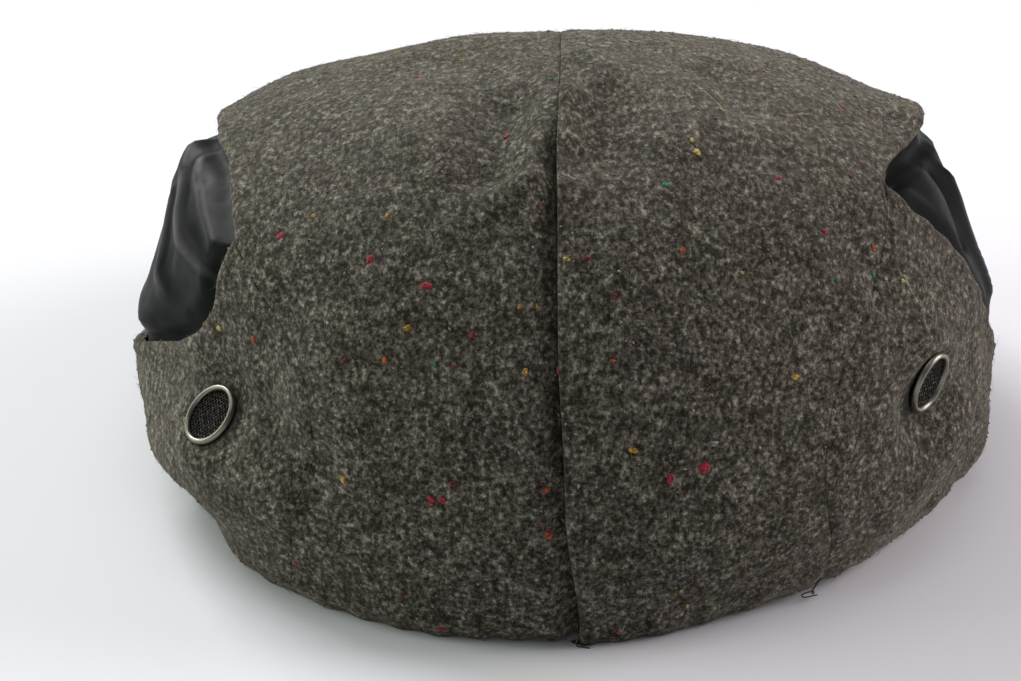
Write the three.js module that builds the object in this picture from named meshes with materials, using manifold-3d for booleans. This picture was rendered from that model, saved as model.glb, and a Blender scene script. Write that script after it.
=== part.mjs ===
// A flat cap of flecked tweed: two crown halves that meet at the centre seam, two side panels with
// wire-mesh air eyelets, two soft dark inserts and a covered peak. Sizes are in millimetres. The cap
// rests on its hem at z = 0, the peak points along +Y, and +X is on the right as seen from behind.
import * as THREE from 'three';
import { mergeVertices } from 'three/addons/utils/BufferGeometryUtils.js';
import Module from 'manifold-3d';

// Cloth and seams
const TWEED_WALL = 2.0;
const HEM_WALL = 2.8;
const HEM_TURN_RISE = 0.018;
const SEAM_GAP = 0.3;
const SEAM_ROLL = 0.8;
const CROWN_ROLL_SHARE = 0.03;
const PANEL_ROLL_SHARE = 0.015;

// The soft dark insert, tucked under the tweed edges
const INSERT_WALL = 1.2;
const INSERT_TUCK = 4;
const INSERT_SETBACK = 3.3;
const INSERT_SWELL = 3.1;
const INSERT_FLAT = 1;
const INSERT_SHOULDER = 6.5;

// The peak: corners at the temples, root under the crown, outer edge in front
const PEAK = {
  halfWidth: 76, cornerY: 44, rootY: 97, tipY: 150, endAngle: 84,
  cornerTop: 3.0, rootTop: 17, tipTop: 9.5, camber: 1.2,
  cornerWall: 2.4, centreWall: 4.0, edgeRound: 0.9,
};

// The air eyelet: a domed ring on a barrel, and the wire-mesh disc in its bore
const EYELET = {
  boreRadius: 4.55, barrelRadius: 5.1, holeRadius: 5.4, flangeRadius: 6.3, washerRadius: 6.0,
  flangeSeat: 0.3, flangeRim: 0.55, flangeTop: 1.35, shoulder: 0.4, washerTop: -2.6, washerFoot: -3.2,
  discRadius: 4.25, discWall: 0.5, discTop: 0.35, sides: 24, padRadius: 9, padFade: 7,
};

// The cap's form as rungs from the hem (rise 0) to the ridge over the top (rise 1). Each rung gives
// its half width, its reach behind and in front of the origin, and its heights.
const RUNGS = [
  { rise: 0.00, halfWidth: 82.5, back: 103, front: 133, zBack: 0, zSide: 0, zFront: 12 },
  { rise: 0.14, halfWidth: 88.5, back: 107, front: 134, zBack: 16, zSide: 16, zFront: 19 },
  { rise: 0.28, halfWidth: 88.0, back: 105, front: 130, zBack: 33, zSide: 32, zFront: 27 },
  { rise: 0.43, halfWidth: 83.0, back: 98, front: 120, zBack: 49, zSide: 48, zFront: 37 },
  { rise: 0.58, halfWidth: 73.0, back: 84, front: 104, zBack: 65, zSide: 65, zFront: 49 },
  { rise: 0.73, halfWidth: 54.0, back: 63, front: 84, zBack: 76, zSide: 75.5, zFront: 61 },
  { rise: 0.87, halfWidth: 28.5, back: 40, front: 63, zBack: 81.5, zSide: 81, zFront: 70 },
  { rise: 1.00, halfWidth: 0, back: 15, front: 42, zBack: 83.5, zSide: 83, zFront: 75 },
];

// A flat chart of the form, in which the centre seam is one straight line over the top: the run of
// cloth from the hem to the ridge at the side, back and front, and the ridge's two ends
const CHART = { sideRun: 146, backRun: 145, frontRun: 118, ridgeBack: 15, ridgeFront: 42 };

// The centre seam wanders from the middle: stations along it in the chart, and how far it lies right
const SEAM_DRIFT = [
  { station: -160, drift: 3.5 }, { station: -125, drift: -1.1 }, { station: -95, drift: -2 },
  { station: -60, drift: -1.6 }, { station: -15, drift: -0.6 }, { station: 40, drift: 0 },
];
const DRIFT_WIDTH = 45;

// Seams and cut edges, as angles from the centre back in degrees and rises
const HEM_CORNER = 36;
const TIP_ANGLE = 133;
const SIDE_SEAM = {
  left: [
    { angle: HEM_CORNER, rise: 0 }, { angle: 33.5, rise: 0.11 }, { angle: 31.5, rise: 0.22 },
    { angle: 31, rise: 0.31 }, { angle: 33.5, rise: 0.385 }, { angle: 42, rise: 0.465 },
    { angle: 51.5, rise: 0.52 },
  ],
  right: [
    { angle: HEM_CORNER, rise: 0 }, { angle: 33, rise: 0.11 }, { angle: 30.5, rise: 0.21 },
    { angle: 31.5, rise: 0.315 }, { angle: 36, rise: 0.41 }, { angle: 45, rise: 0.49 },
    { angle: 57.5, rise: 0.60 },
  ],
};
const WEDGE_TOP = {
  left: [
    { angle: 51.5, rise: 0.52 }, { angle: 57, rise: 0.555 }, { angle: 68, rise: 0.60 },
    { angle: 80, rise: 0.60 }, { angle: 92.5, rise: 0.585 }, { angle: 107, rise: 0.51 },
    { angle: 120, rise: 0.38 }, { angle: 129, rise: 0.22 }, { angle: TIP_ANGLE, rise: 0.075 },
  ],
  right: [
    { angle: 57.5, rise: 0.60 }, { angle: 63, rise: 0.615 }, { angle: 70.5, rise: 0.615 },
    { angle: 81, rise: 0.60 }, { angle: 94, rise: 0.575 }, { angle: 107, rise: 0.50 },
    { angle: 120, rise: 0.38 }, { angle: 129, rise: 0.22 }, { angle: TIP_ANGLE, rise: 0.075 },
  ],
};
const WEDGE_FOOT = {
  left: [
    { angle: 51.5, rise: 0.52 }, { angle: 52, rise: 0.46 }, { angle: 53, rise: 0.41 },
    { angle: 57, rise: 0.36 }, { angle: 64.5, rise: 0.305 }, { angle: 79, rise: 0.225 },
    { angle: 95, rise: 0.165 }, { angle: 113, rise: 0.105 }, { angle: TIP_ANGLE, rise: 0.06 },
  ],
  right: [
    { angle: 57.5, rise: 0.60 }, { angle: 58.5, rise: 0.555 }, { angle: 63, rise: 0.505 },
    { angle: 67, rise: 0.45 }, { angle: 70.5, rise: 0.36 }, { angle: 78, rise: 0.245 },
    { angle: 92, rise: 0.175 }, { angle: 113, rise: 0.105 }, { angle: TIP_ANGLE, rise: 0.06 },
  ],
};

// Folds and dents of the tweed. Each has a crest from one place to another, how far it spreads to
// each side and how much it lifts the cloth, or lowers it where the lift is below zero.
const FOLDS = [
  { name: 'ridge under the left eyelet', side: -1, angleA: 66, riseA: 0.09, angleB: 34,
    riseB: 0.195, spread: 7, lift: 3 },
  { name: 'hollow over the left eyelet', side: -1, angleA: 62, riseA: 0.33, angleB: 42,
    riseB: 0.35, spread: 11, lift: -2.6 },
  { name: 'groove beside the left seam', side: -1, angleA: 40, riseA: 0.305, angleB: 33.5,
    riseB: 0.24, spread: 5, lift: -2.4 },
  { name: 'groove along the left seam', side: -1, angleA: 29.5, riseA: 0.255, angleB: 30.5,
    riseB: 0.2, spread: 4.5, lift: -1.8 },
  { name: 'left hem drawn in', side: -1, angleA: 72, riseA: 0.04, angleB: 54, riseB: 0.05,
    spread: 9, lift: -2.6 },
  { name: 'left hem standing out behind', side: -1, angleA: 42, riseA: 0, angleB: 18, riseB: 0,
    spread: 15, lift: 1.9 },
  { name: 'right hem flattened behind', side: 1, angleA: 48, riseA: 0, angleB: 24, riseB: 0,
    spread: 17, lift: -2.5 },
  { name: 'bulge behind the left seam', side: -1, angleA: 29, riseA: 0.43, angleB: 25, riseB: 0.33,
    spread: 9, lift: 1.4 },
  { name: 'bulge above the left seam', side: -1, angleA: 50, riseA: 0.495, angleB: 45,
    riseB: 0.465, spread: 9, lift: 1.2 },
  { name: 'bulge under the right eyelet', side: 1, angleA: 60, riseA: 0.21, angleB: 43,
    riseB: 0.12, spread: 9, lift: 1.8 },
  { name: 'hollow at the right eyelet', side: 1, angleA: 60, riseA: 0.28, angleB: 47, riseB: 0.26,
    spread: 8, lift: -1.8 },
  { name: 'swell over the right eyelet', side: 1, angleA: 64, riseA: 0.38, angleB: 47, riseB: 0.4,
    spread: 9, lift: 1.4 },
  { name: 'groove behind the right rim', side: 1, angleA: 64, riseA: 0.17, angleB: 57, riseB: 0.07,
    spread: 5, lift: -2 },
  { name: 'right rim standing out', side: 1, angleA: 72, riseA: 0.07, angleB: 94, riseB: 0.07,
    spread: 6.5, lift: 3 },
  { name: 'right edge standing out over the insert', side: 1, angleA: 86, riseA: 0.605,
    angleB: 100, riseB: 0.56, spread: 8, lift: 3 },
  { name: 'dip behind the right seam', side: 1, angleA: 43, riseA: 0.515, angleB: 44.5,
    riseB: 0.47, spread: 7, lift: -1.6 },
  { name: 'bulge behind the right seam', side: 1, angleA: 40, riseA: 0.435, angleB: 39.5,
    riseB: 0.4, spread: 8, lift: 1.4 },
  { name: 'hollow left of the seam top', side: -1, angleA: 23, riseA: 0.86, angleB: 13,
    riseB: 0.71, spread: 7, lift: -3.4 },
  { name: 'pucker across the seam top', side: 1, angleA: 38, riseA: 0.965, angleB: 1, riseB: 0.87,
    spread: 5, lift: 2 },
  { name: 'pucker down the seam top', side: -1, angleA: 1, riseA: 0.868, angleB: 7.5, riseB: 0.68,
    spread: 5, lift: 2.4 },
  { name: 'end of the pucker', side: -1, angleA: 6, riseA: 0.68, angleB: 12.5, riseB: 0.65,
    spread: 5, lift: 1.4 },
  { name: 'left pucker', side: -1, angleA: 60, riseA: 0.85, angleB: 24, riseB: 0.72, spread: 8,
    lift: 1.7 },
  { name: 'right hollow by the seam', side: 1, angleA: 13, riseA: 0.88, angleB: 9, riseB: 0.75,
    spread: 7, lift: -2.4 },
  { name: 'right pucker', side: 1, angleA: 57, riseA: 0.865, angleB: 25, riseB: 0.755, spread: 7,
    lift: 1.5 },
  { name: 'far right hollow', side: 1, angleA: 70, riseA: 0.855, angleB: 51.5, riseB: 0.8,
    spread: 7, lift: -2.2 },
  { name: 'left shoulder sunk', side: -1, angleA: 118, riseA: 0.78, angleB: 55, riseB: 0.76,
    spread: 20, lift: -2.2 },
  { name: 'dip on the left of the ridge', side: -1, angleA: 82, riseA: 0.9, angleB: 50,
    riseB: 0.89, spread: 12, lift: -1.8 },
];

// Soft folds of the insert, in the same columns
const INSERT_FOLDS = [
  { side: -1, angleA: 80, riseA: 0.5, angleB: 60, riseB: 0.375, spread: 3.5, lift: 1 },
  { side: -1, angleA: 86, riseA: 0.555, angleB: 62, riseB: 0.465, spread: 3.5, lift: 1 },
  { side: -1, angleA: 92, riseA: 0.44, angleB: 82, riseB: 0.36, spread: 5.5, lift: -2.4 },
  { side: -1, angleA: 86, riseA: 0.545, angleB: 84, riseB: 0.505, spread: 4, lift: 1 },
  { side: -1, angleA: 96, riseA: 0.54, angleB: 90, riseB: 0.25, spread: 5, lift: -1 },
  { side: 1, angleA: 80, riseA: 0.55, angleB: 73.5, riseB: 0.45, spread: 3.5, lift: -1.2 },
  { side: 1, angleA: 84, riseA: 0.51, angleB: 79, riseB: 0.33, spread: 4, lift: 1.2 },
  { side: 1, angleA: 90, riseA: 0.6, angleB: 79, riseB: 0.57, spread: 7, lift: -2.2 },
  { side: 1, angleA: 92, riseA: 0.54, angleB: 84, riseB: 0.28, spread: 4, lift: -1.2 },
];

// Where each eyelet sits on its side panel, and which way it faces: the soft cloth tips with it
const EYELET_SEATS = {
  left: { angle: 48, rise: 0.255, axis: [-0.58, -0.487, 0.653] },
  right: { angle: 49.5, rise: 0.31, axis: [0.79, -0.6, -0.1] },
};

// How finely each piece is divided
const SEAM_ROWS = 10;
const WEDGE_ROWS = 20;
const TIP_ROWS = 2;
const CROWN_COLUMNS = 15;
const PANEL_COLUMNS = 22;
const INSERT_COLUMNS = 22;
const INSERT_ROWS = 9;
const PEAK_COLUMNS = 28;
const PEAK_ROWS = 6;
const CREST_STEPS = 4;

// Where the crown's rows that start at the seam's apex and at the wedge's tip meet the centre line
const APEX_STATION = -62;
const TIP_STATION = 122;

// The angles between which the hem lifts onto the peak, and the rise by which that has faded
const LIFT_START = 103;
const LIFT_END = 111;
const SEAT_FADE = 0.2;

// The hole's drill runs well past both faces of the cloth, and the wire disc is dished a little
const DRILL_LENGTH = 16;
const DISC_DISH = 0.2;

// Steps and limits of the calculation: the reach of a slope, the samples along an edge, the halvings
// of a search, and how close to the ridge and to the peak's corners a point is still worked out
const HALF_STEP_ANGLE = 0.5;
const HALF_STEP_RISE = 0.004;
const EDGE_SAMPLES = 80;
const HALVINGS = 40;
const RIDGE_LIMIT = 0.99;
const ASIDE_LIMIT = 0.995;

const SIDES = [{ name: 'left', sign: -1 }, { name: 'right', sign: 1 }];

const wasm = await Module();
wasm.setup();

// A column of the rung table at any rise, as a smooth curve that runs on past the ridge, mirrored
function rungValue(column, rise) {
  const last = RUNGS.length - 1;
  const at = (i) => {
    if (i < 0) return { rise: -RUNGS[1].rise, value: 2 * RUNGS[0][column] - RUNGS[1][column] };
    if (i <= last) return { rise: RUNGS[i].rise, value: RUNGS[i][column] };
    const mirrored = RUNGS[last - 1][column];
    return { rise: 2 - RUNGS[last - 1].rise, value: column === 'halfWidth' ? -mirrored : mirrored };
  };
  let i = 0;
  while (i < last - 1 && rise > RUNGS[i + 1].rise) i += 1;
  const [p0, p1, p2, p3] = [at(i - 1), at(i), at(i + 1), at(i + 2)];
  const span = p2.rise - p1.rise;
  const u = (rise - p1.rise) / span;
  const slopeIn = ((p2.value - p0.value) / (p2.rise - p0.rise)) * span;
  const slopeOut = ((p3.value - p1.value) / (p3.rise - p1.rise)) * span;
  const rest = 1 - u;
  return (1 + 2 * u) * rest * rest * p1.value + u * rest * rest * slopeIn
    + u * u * (3 - 2 * u) * p2.value - u * u * rest * slopeOut;
}

// The top of the peak under a point, from the peak's root and outer edge on the same cross line
function peakTop(across, along) {
  const spread = Math.cos(across) ** 2;
  const root = PEAK.cornerTop + (PEAK.rootTop - PEAK.cornerTop) * spread;
  const edge = PEAK.cornerTop + (PEAK.tipTop - PEAK.cornerTop) * spread;
  return root + (edge - root) * along + 4 * PEAK.camber * along * (1 - along) * spread;
}

function peakTopUnder(x, y) {
  const aside = THREE.MathUtils.clamp(x / PEAK.halfWidth, -ASIDE_LIMIT, ASIDE_LIMIT);
  const across = Math.asin(aside);
  const depth = (y - PEAK.cornerY) / Math.cos(across);
  const along = (depth - (PEAK.rootY - PEAK.cornerY)) / (PEAK.tipY - PEAK.rootY);
  return peakTop(across, THREE.MathUtils.clamp(along, 0, 1));
}

// The height of the hem: on the ground round the back and sides, and on the peak in front
function hemHeight(angle, x, y) {
  const lifted = THREE.MathUtils.smoothstep(angle, LIFT_START, LIFT_END);
  return lifted * (peakTopUnder(x, y) + SEAM_GAP);
}

// A point of the cap's smooth form, on the left (sign -1) or the right (sign 1)
function formPoint(sign, angle, rise) {
  const turn = THREE.MathUtils.degToRad(angle);
  const c = Math.cos(turn);
  const s = Math.sin(turn);
  const x = sign * rungValue('halfWidth', rise) * s;
  const y = -rungValue(c > 0 ? 'back' : 'front', rise) * c;
  const end = rungValue(c > 0 ? 'zBack' : 'zFront', rise);
  const z = end * c * c + rungValue('zSide', rise) * s * s;
  const fade = Math.max(0, 1 - rise / SEAT_FADE) ** 2;
  const hemX = sign * RUNGS[0].halfWidth * s;
  const hemY = -(c > 0 ? RUNGS[0].back : RUNGS[0].front) * c;
  const hemZ = c > 0 ? 0 : RUNGS[0].zFront * c * c;
  return new THREE.Vector3(x, y, z + fade * (hemHeight(angle, hemX, hemY) - hemZ));
}

function formNormal(sign, angle, rise) {
  const a = THREE.MathUtils.clamp(angle, 2 * HALF_STEP_ANGLE, 180 - 2 * HALF_STEP_ANGLE);
  const r = THREE.MathUtils.clamp(rise, HALF_STEP_RISE, RIDGE_LIMIT);
  const [behind, ahead] = [a - HALF_STEP_ANGLE, a + HALF_STEP_ANGLE].map((x) => formPoint(sign, x, r));
  const [below, above] = [r - HALF_STEP_RISE, r + HALF_STEP_RISE].map((x) => formPoint(sign, a, x));
  return ahead.sub(behind).cross(above.sub(below)).multiplyScalar(sign).normalize();
}

// The chart, and the way back from it to an angle and a rise
function chart({ angle, rise }) {
  const turn = THREE.MathUtils.degToRad(angle);
  const c = Math.cos(turn);
  const run = c > 0 ? CHART.backRun : CHART.frontRun;
  const ridge = c > 0 ? CHART.ridgeBack : CHART.ridgeFront;
  return new THREE.Vector2((1 - rise) * CHART.sideRun * Math.sin(turn), -((1 - rise) * run + ridge) * c);
}

function unchart(point) {
  const run = point.y < 0 ? CHART.backRun : CHART.frontRun;
  const ridge = point.y < 0 ? CHART.ridgeBack : CHART.ridgeFront;
  let low = 0;
  let high = 1;
  for (let step = 0; step < HALVINGS; step += 1) {
    const rise = (low + high) / 2;
    const across = point.x / ((1 - rise) * CHART.sideRun);
    const along = point.y / ((1 - rise) * run + ridge);
    if (across * across + along * along < 1) low = rise;
    else high = rise;
  }
  const along = -point.y / ((1 - low) * run + ridge);
  return { angle: THREE.MathUtils.radToDeg(Math.acos(THREE.MathUtils.clamp(along, -1, 1))), rise: low };
}

function seamDrift(station) {
  const next = SEAM_DRIFT.findIndex((row) => row.station > station);
  if (next < 1) return SEAM_DRIFT[next === 0 ? 0 : SEAM_DRIFT.length - 1].drift;
  const [before, after] = [SEAM_DRIFT[next - 1], SEAM_DRIFT[next]];
  const share = THREE.MathUtils.smoothstep(station, before.station, after.station);
  return THREE.MathUtils.lerp(before.drift, after.drift, share);
}

// A chart point of one half, moved with the centre seam, as a place on the form
function placeOf(sign, point) {
  const hold = Math.max(0, 1 - point.x / DRIFT_WIDTH);
  const x = sign * point.x + hold * seamDrift(point.y);
  return { sign: x < 0 ? -1 : 1, ...unchart(new THREE.Vector2(Math.abs(x), point.y)) };
}

// The crest of a fold, as a chain of points on the form
function crestOf(fold) {
  const steps = Array.from({ length: CREST_STEPS + 1 }, (_, i) => i / CREST_STEPS);
  return steps.map((s) => formPoint(
    fold.side,
    THREE.MathUtils.lerp(fold.angleA, fold.angleB, s),
    THREE.MathUtils.lerp(fold.riseA, fold.riseB, s),
  ));
}

const withCrest = (fold) => ({ ...fold, crest: crestOf(fold) });
const TWEED_CRESTS = FOLDS.map(withCrest);
const INSERT_CRESTS = INSERT_FOLDS.map(withCrest);

function liftAt(point, folds) {
  const nearest = new THREE.Vector3();
  const piece = new THREE.Line3();
  let lift = 0;
  for (const fold of folds) {
    let gap = Infinity;
    for (let i = 0; i < CREST_STEPS; i += 1) {
      piece.set(fold.crest[i], fold.crest[i + 1]);
      piece.closestPointToPoint(point, true, nearest);
      gap = Math.min(gap, nearest.distanceTo(point));
    }
    lift += fold.lift * Math.exp(-((gap / fold.spread) ** 2));
  }
  return lift;
}

// The folded tweed, before the eyelets press it flat
function tweedPoint(sign, angle, rise) {
  const point = formPoint(sign, angle, rise);
  return point.addScaledVector(formNormal(sign, angle, rise), liftAt(point, TWEED_CRESTS));
}

// Where an eyelet sits: its centre on the tweed and its axis, outwards
function eyeletSeat({ name, sign }) {
  const { angle, rise, axis } = EYELET_SEATS[name];
  return { centre: tweedPoint(sign, angle, rise), axis: new THREE.Vector3(...axis).normalize() };
}

const SEATS = SIDES.map(eyeletSeat);

// The outer face of the tweed: folded, and flat round each eyelet
function outerPoint(sign, angle, rise) {
  const point = tweedPoint(sign, angle, rise);
  const { padRadius, padFade } = EYELET;
  for (const { centre, axis } of SEATS) {
    const offset = point.clone().sub(centre);
    const hold = 1 - THREE.MathUtils.smoothstep(offset.length(), padRadius, padRadius + padFade);
    point.addScaledVector(axis, -hold * offset.dot(axis));
  }
  return point;
}

// The wall is thicker where the hem is turned up
function tweedWall(rise) {
  const turned = 1 - THREE.MathUtils.smoothstep(rise, HEM_TURN_RISE, 2 * HEM_TURN_RISE);
  return TWEED_WALL + turned * (HEM_WALL - TWEED_WALL);
}

// A closed body from two matching skins of points: rows[j][i] = { outer, inner }
function skinsToGeometry(rows, flip) {
  const columns = rows[0].length;
  const positions = rows.flat().flatMap(({ outer, inner }) => [...outer, ...inner]);
  const outerAt = (j, i) => 2 * (j * columns + i);
  const innerAt = (j, i) => outerAt(j, i) + 1;
  const faces = [];
  const quad = (a, b, c, d) => {
    if (flip) faces.push(a, c, b, a, d, c);
    else faces.push(a, b, c, a, c, d);
  };
  const lastRow = rows.length - 1;
  const lastColumn = columns - 1;
  for (let j = 0; j < lastRow; j += 1) {
    for (let i = 0; i < lastColumn; i += 1) {
      quad(outerAt(j, i), outerAt(j, i + 1), outerAt(j + 1, i + 1), outerAt(j + 1, i));
      quad(innerAt(j, i), innerAt(j + 1, i), innerAt(j + 1, i + 1), innerAt(j, i + 1));
    }
    quad(outerAt(j, 0), outerAt(j + 1, 0), innerAt(j + 1, 0), innerAt(j, 0));
    const [outerEnd, outerNext] = [outerAt(j, lastColumn), outerAt(j + 1, lastColumn)];
    quad(outerEnd, outerEnd + 1, outerNext + 1, outerNext);
  }
  for (let i = 0; i < lastColumn; i += 1) {
    quad(outerAt(0, i), innerAt(0, i), innerAt(0, i + 1), outerAt(0, i + 1));
    quad(outerAt(lastRow, i), outerAt(lastRow, i + 1), innerAt(lastRow, i + 1), innerAt(lastRow, i));
  }
  const geometry = new THREE.BufferGeometry();
  geometry.setAttribute('position', new THREE.Float32BufferAttribute(positions, 3));
  geometry.setIndex(faces);
  return geometry;
}

const shares = (count) => Array.from({ length: count + 1 }, (_, i) => i / count);

// Even shares, but for a narrow first and last step where a seamed edge rolls in
function rolledShares(count, roll) {
  const inner = shares(count - 2).map((share) => roll + share * (1 - 2 * roll));
  return [0, ...inner, 1];
}

// A grid of chart points that fills four edges. left and right run up, bottom and top run across.
function fillEdges({ left, right, bottom, top, across, along }) {
  const mix = (a, b, share) => a.clone().lerp(b, share);
  const end = bottom.length - 1;
  return along.map((v, j) => across.map((u, i) => {
    const between = mix(left[j], right[j], u).add(mix(bottom[i], top[i], v));
    return between.sub(mix(mix(bottom[0], bottom[end], u), mix(top[0], top[end], u), v));
  }));
}

const edgeCurve = (rows, count) => new THREE.SplineCurve(rows.map(chart)).getSpacedPoints(count);
const straight = (from, to, count) => new THREE.LineCurve(from, to).getPoints(count);
const hemArc = (from, to, across) => across.map(
  (share) => chart({ angle: THREE.MathUtils.lerp(from, to, share), rise: 0 }),
);

// The first and last column of a panel draw back from their neighbours by half the gap
function drawBack(rows) {
  const last = rows[0].length - 1;
  const shift = (skin, row, i, step) => {
    const pull = row[i + step][skin].clone().sub(row[i][skin]);
    row[i][skin].addScaledVector(pull.normalize(), SEAM_GAP / 2);
  };
  for (const row of rows) {
    for (const skin of ['outer', 'inner']) {
      shift(skin, row, 0, 1);
      shift(skin, row, last, -1);
    }
  }
  return rows;
}

// The two skins of a tweed panel over a grid of chart points. rolls(j, i) tells where a seamed edge
// rolls in, and rests(j) tells which rows of points are a hem.
function tweedSkins(sign, grid, rolls, rests) {
  const rows = grid.map((line, j) => line.map((point, i) => {
    const place = placeOf(sign, point);
    const normal = formNormal(place.sign, place.angle, place.rise);
    const outer = outerPoint(place.sign, place.angle, place.rise);
    const inner = outer.clone().addScaledVector(normal, -tweedWall(place.rise));
    if (rolls(j, i)) outer.addScaledVector(normal, -SEAM_ROLL);
    if (rests(j)) {
      for (const skin of [outer, inner]) skin.z = hemHeight(place.angle, skin.x, skin.y);
    }
    return { outer, inner };
  }));
  return drawBack(rows);
}

// Half of the crown, from the back hem over the top to the front edge
function crownHalf({ name, sign }) {
  const seam = edgeCurve(SIDE_SEAM[name], SEAM_ROWS);
  const wedge = edgeCurve(WEDGE_TOP[name], WEDGE_ROWS);
  const frontCorner = chart({ angle: TIP_ANGLE, rise: 0 });
  const tip = straight(wedge[WEDGE_ROWS], frontCorner, TIP_ROWS);
  const backHem = chart({ angle: 0, rise: 0 });
  const frontEdge = chart({ angle: 180, rise: 0 });
  const apexStation = new THREE.Vector2(0, APEX_STATION);
  const tipStation = new THREE.Vector2(0, TIP_STATION);
  const left = [
    ...straight(backHem, apexStation, SEAM_ROWS),
    ...straight(apexStation, tipStation, WEDGE_ROWS).slice(1),
    ...straight(tipStation, frontEdge, TIP_ROWS).slice(1),
  ];
  const right = [...seam, ...wedge.slice(1), ...tip.slice(1)];
  const across = rolledShares(CROWN_COLUMNS, CROWN_ROLL_SHARE);
  const along = left.map((point) => (point.y - backHem.y) / (frontEdge.y - backHem.y));
  const bottom = hemArc(0, HEM_CORNER, across);
  const top = hemArc(180, TIP_ANGLE, across);
  const grid = fillEdges({ left, right, bottom, top, across, along });
  const lastRow = grid.length - 1;
  const seamed = (j) => j <= SEAM_ROWS || j >= SEAM_ROWS + WEDGE_ROWS;
  const rolls = (j, i) => i === 0 || (i === CROWN_COLUMNS && seamed(j));
  const rests = (j) => j === 0 || j === lastRow;
  return skinsToGeometry(tweedSkins(sign, grid, rolls, rests), sign < 0);
}

// A side panel, from the side-back seam forward under the insert to the peak's end
function sidePanel({ name, sign }) {
  const across = rolledShares(PANEL_COLUMNS, PANEL_ROLL_SHARE);
  const left = edgeCurve(SIDE_SEAM[name], SEAM_ROWS);
  const foot = new THREE.SplineCurve(WEDGE_FOOT[name].map(chart));
  const top = across.map((share) => foot.getPointAt(share));
  const right = straight(chart({ angle: TIP_ANGLE, rise: 0 }), top[PANEL_COLUMNS], SEAM_ROWS);
  const bottom = hemArc(HEM_CORNER, TIP_ANGLE, across);
  const grid = fillEdges({ left, right, bottom, top, across, along: shares(SEAM_ROWS) });
  const rolls = (j, i) => i === 0 || i === PANEL_COLUMNS;
  return skinsToGeometry(tweedSkins(sign, grid, rolls, (j) => j === 0), sign < 0);
}

// An edge of the wedge, moved out under the tweed by the tuck and run on past the wedge's tip
function tuckedEdge(rows, outwards) {
  const curve = new THREE.SplineCurve(rows.map(chart));
  const tucked = shares(INSERT_COLUMNS - 1).map((share) => {
    const tangent = curve.getTangentAt(share);
    const away = new THREE.Vector2(tangent.y, -tangent.x).multiplyScalar(outwards * INSERT_TUCK);
    return curve.getPointAt(share).add(away);
  });
  const last = tucked[tucked.length - 1];
  return [...tucked, last.clone().addScaledVector(curve.getTangentAt(1), INSERT_TUCK)];
}

// How far a chart point of the insert lies inside the wedge, from its nearest edge
function insideWedge(point, share, width, edges) {
  const covered = Math.min(share, 1 - share) * width < INSERT_TUCK;
  return covered ? 0 : Math.min(...edges.map((edgePoint) => edgePoint.distanceTo(point)));
}

// The dark insert: tucked under both tweed edges, and swelling up between them
function sideInsert({ name, sign }) {
  const foot = tuckedEdge(WEDGE_FOOT[name], 1);
  const head = tuckedEdge(WEDGE_TOP[name], -1);
  const edges = [WEDGE_FOOT[name], WEDGE_TOP[name]].flatMap((rows) => edgeCurve(rows, EDGE_SAMPLES));
  const rows = shares(INSERT_ROWS).map((share) => foot.map((footPoint, i) => {
    const point = footPoint.clone().lerp(head[i], share);
    const { angle, rise } = unchart(point);
    const inside = insideWedge(point, share, footPoint.distanceTo(head[i]), edges);
    const swell = INSERT_SWELL * THREE.MathUtils.smoothstep(inside, INSERT_FLAT, INSERT_SHOULDER);
    const normal = formNormal(sign, angle, rise);
    const outer = outerPoint(sign, angle, rise);
    const folds = liftAt(outer, INSERT_CRESTS) * THREE.MathUtils.smoothstep(inside, 0, INSERT_TUCK);
    outer.addScaledVector(normal, swell + folds - INSERT_SETBACK);
    return { outer, inner: outer.clone().addScaledVector(normal, -INSERT_WALL) };
  }));
  return skinsToGeometry(rows, sign < 0);
}

// The covered peak: an arched crescent, thinner at its corners, with a rounded outer edge
function peak() {
  const rows = shares(PEAK_ROWS).map((along) => shares(PEAK_COLUMNS).map((share) => {
    const across = THREE.MathUtils.degToRad(THREE.MathUtils.lerp(-PEAK.endAngle, PEAK.endAngle, share));
    const reach = THREE.MathUtils.lerp(PEAK.rootY, PEAK.tipY, along) - PEAK.cornerY;
    const x = PEAK.halfWidth * Math.sin(across);
    const y = PEAK.cornerY + reach * Math.cos(across);
    const wall = THREE.MathUtils.lerp(PEAK.cornerWall, PEAK.centreWall, Math.cos(across) ** 2);
    const round = along === 1 ? PEAK.edgeRound : 0;
    const outer = new THREE.Vector3(x, y, peakTop(across, along) - round);
    return { outer, inner: new THREE.Vector3(x, y, outer.z - wall + 2 * round) };
  }));
  return skinsToGeometry(rows, false);
}

// A closed geometry as a solid that can be cut, and back
function toSolid(geometry) {
  const bare = geometry.clone();
  for (const name of ['normal', 'uv']) bare.deleteAttribute(name);
  const merged = mergeVertices(bare);
  const vertProperties = new Float32Array(merged.attributes.position.array);
  const triVerts = new Uint32Array(merged.index.array);
  return new wasm.Manifold(new wasm.Mesh({ numProp: 3, vertProperties, triVerts }));
}

function toGeometry(solid) {
  const { vertProperties, triVerts } = solid.getMesh();
  const geometry = new THREE.BufferGeometry();
  geometry.setAttribute('position', new THREE.BufferAttribute(vertProperties, 3));
  geometry.setIndex(new THREE.BufferAttribute(triVerts, 1));
  return geometry;
}

const turnTo = (axis) => new THREE.Quaternion().setFromUnitVectors(new THREE.Vector3(0, 1, 0), axis);

// A side panel with the hole that its eyelet's barrel passes through
function piercedPanel(side, { centre, axis }) {
  const { holeRadius, sides } = EYELET;
  const drill = new THREE.CylinderGeometry(holeRadius, holeRadius, DRILL_LENGTH, sides);
  drill.applyQuaternion(turnTo(axis)).translate(...centre);
  return toGeometry(toSolid(sidePanel(side)).subtract(toSolid(drill)));
}

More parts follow.
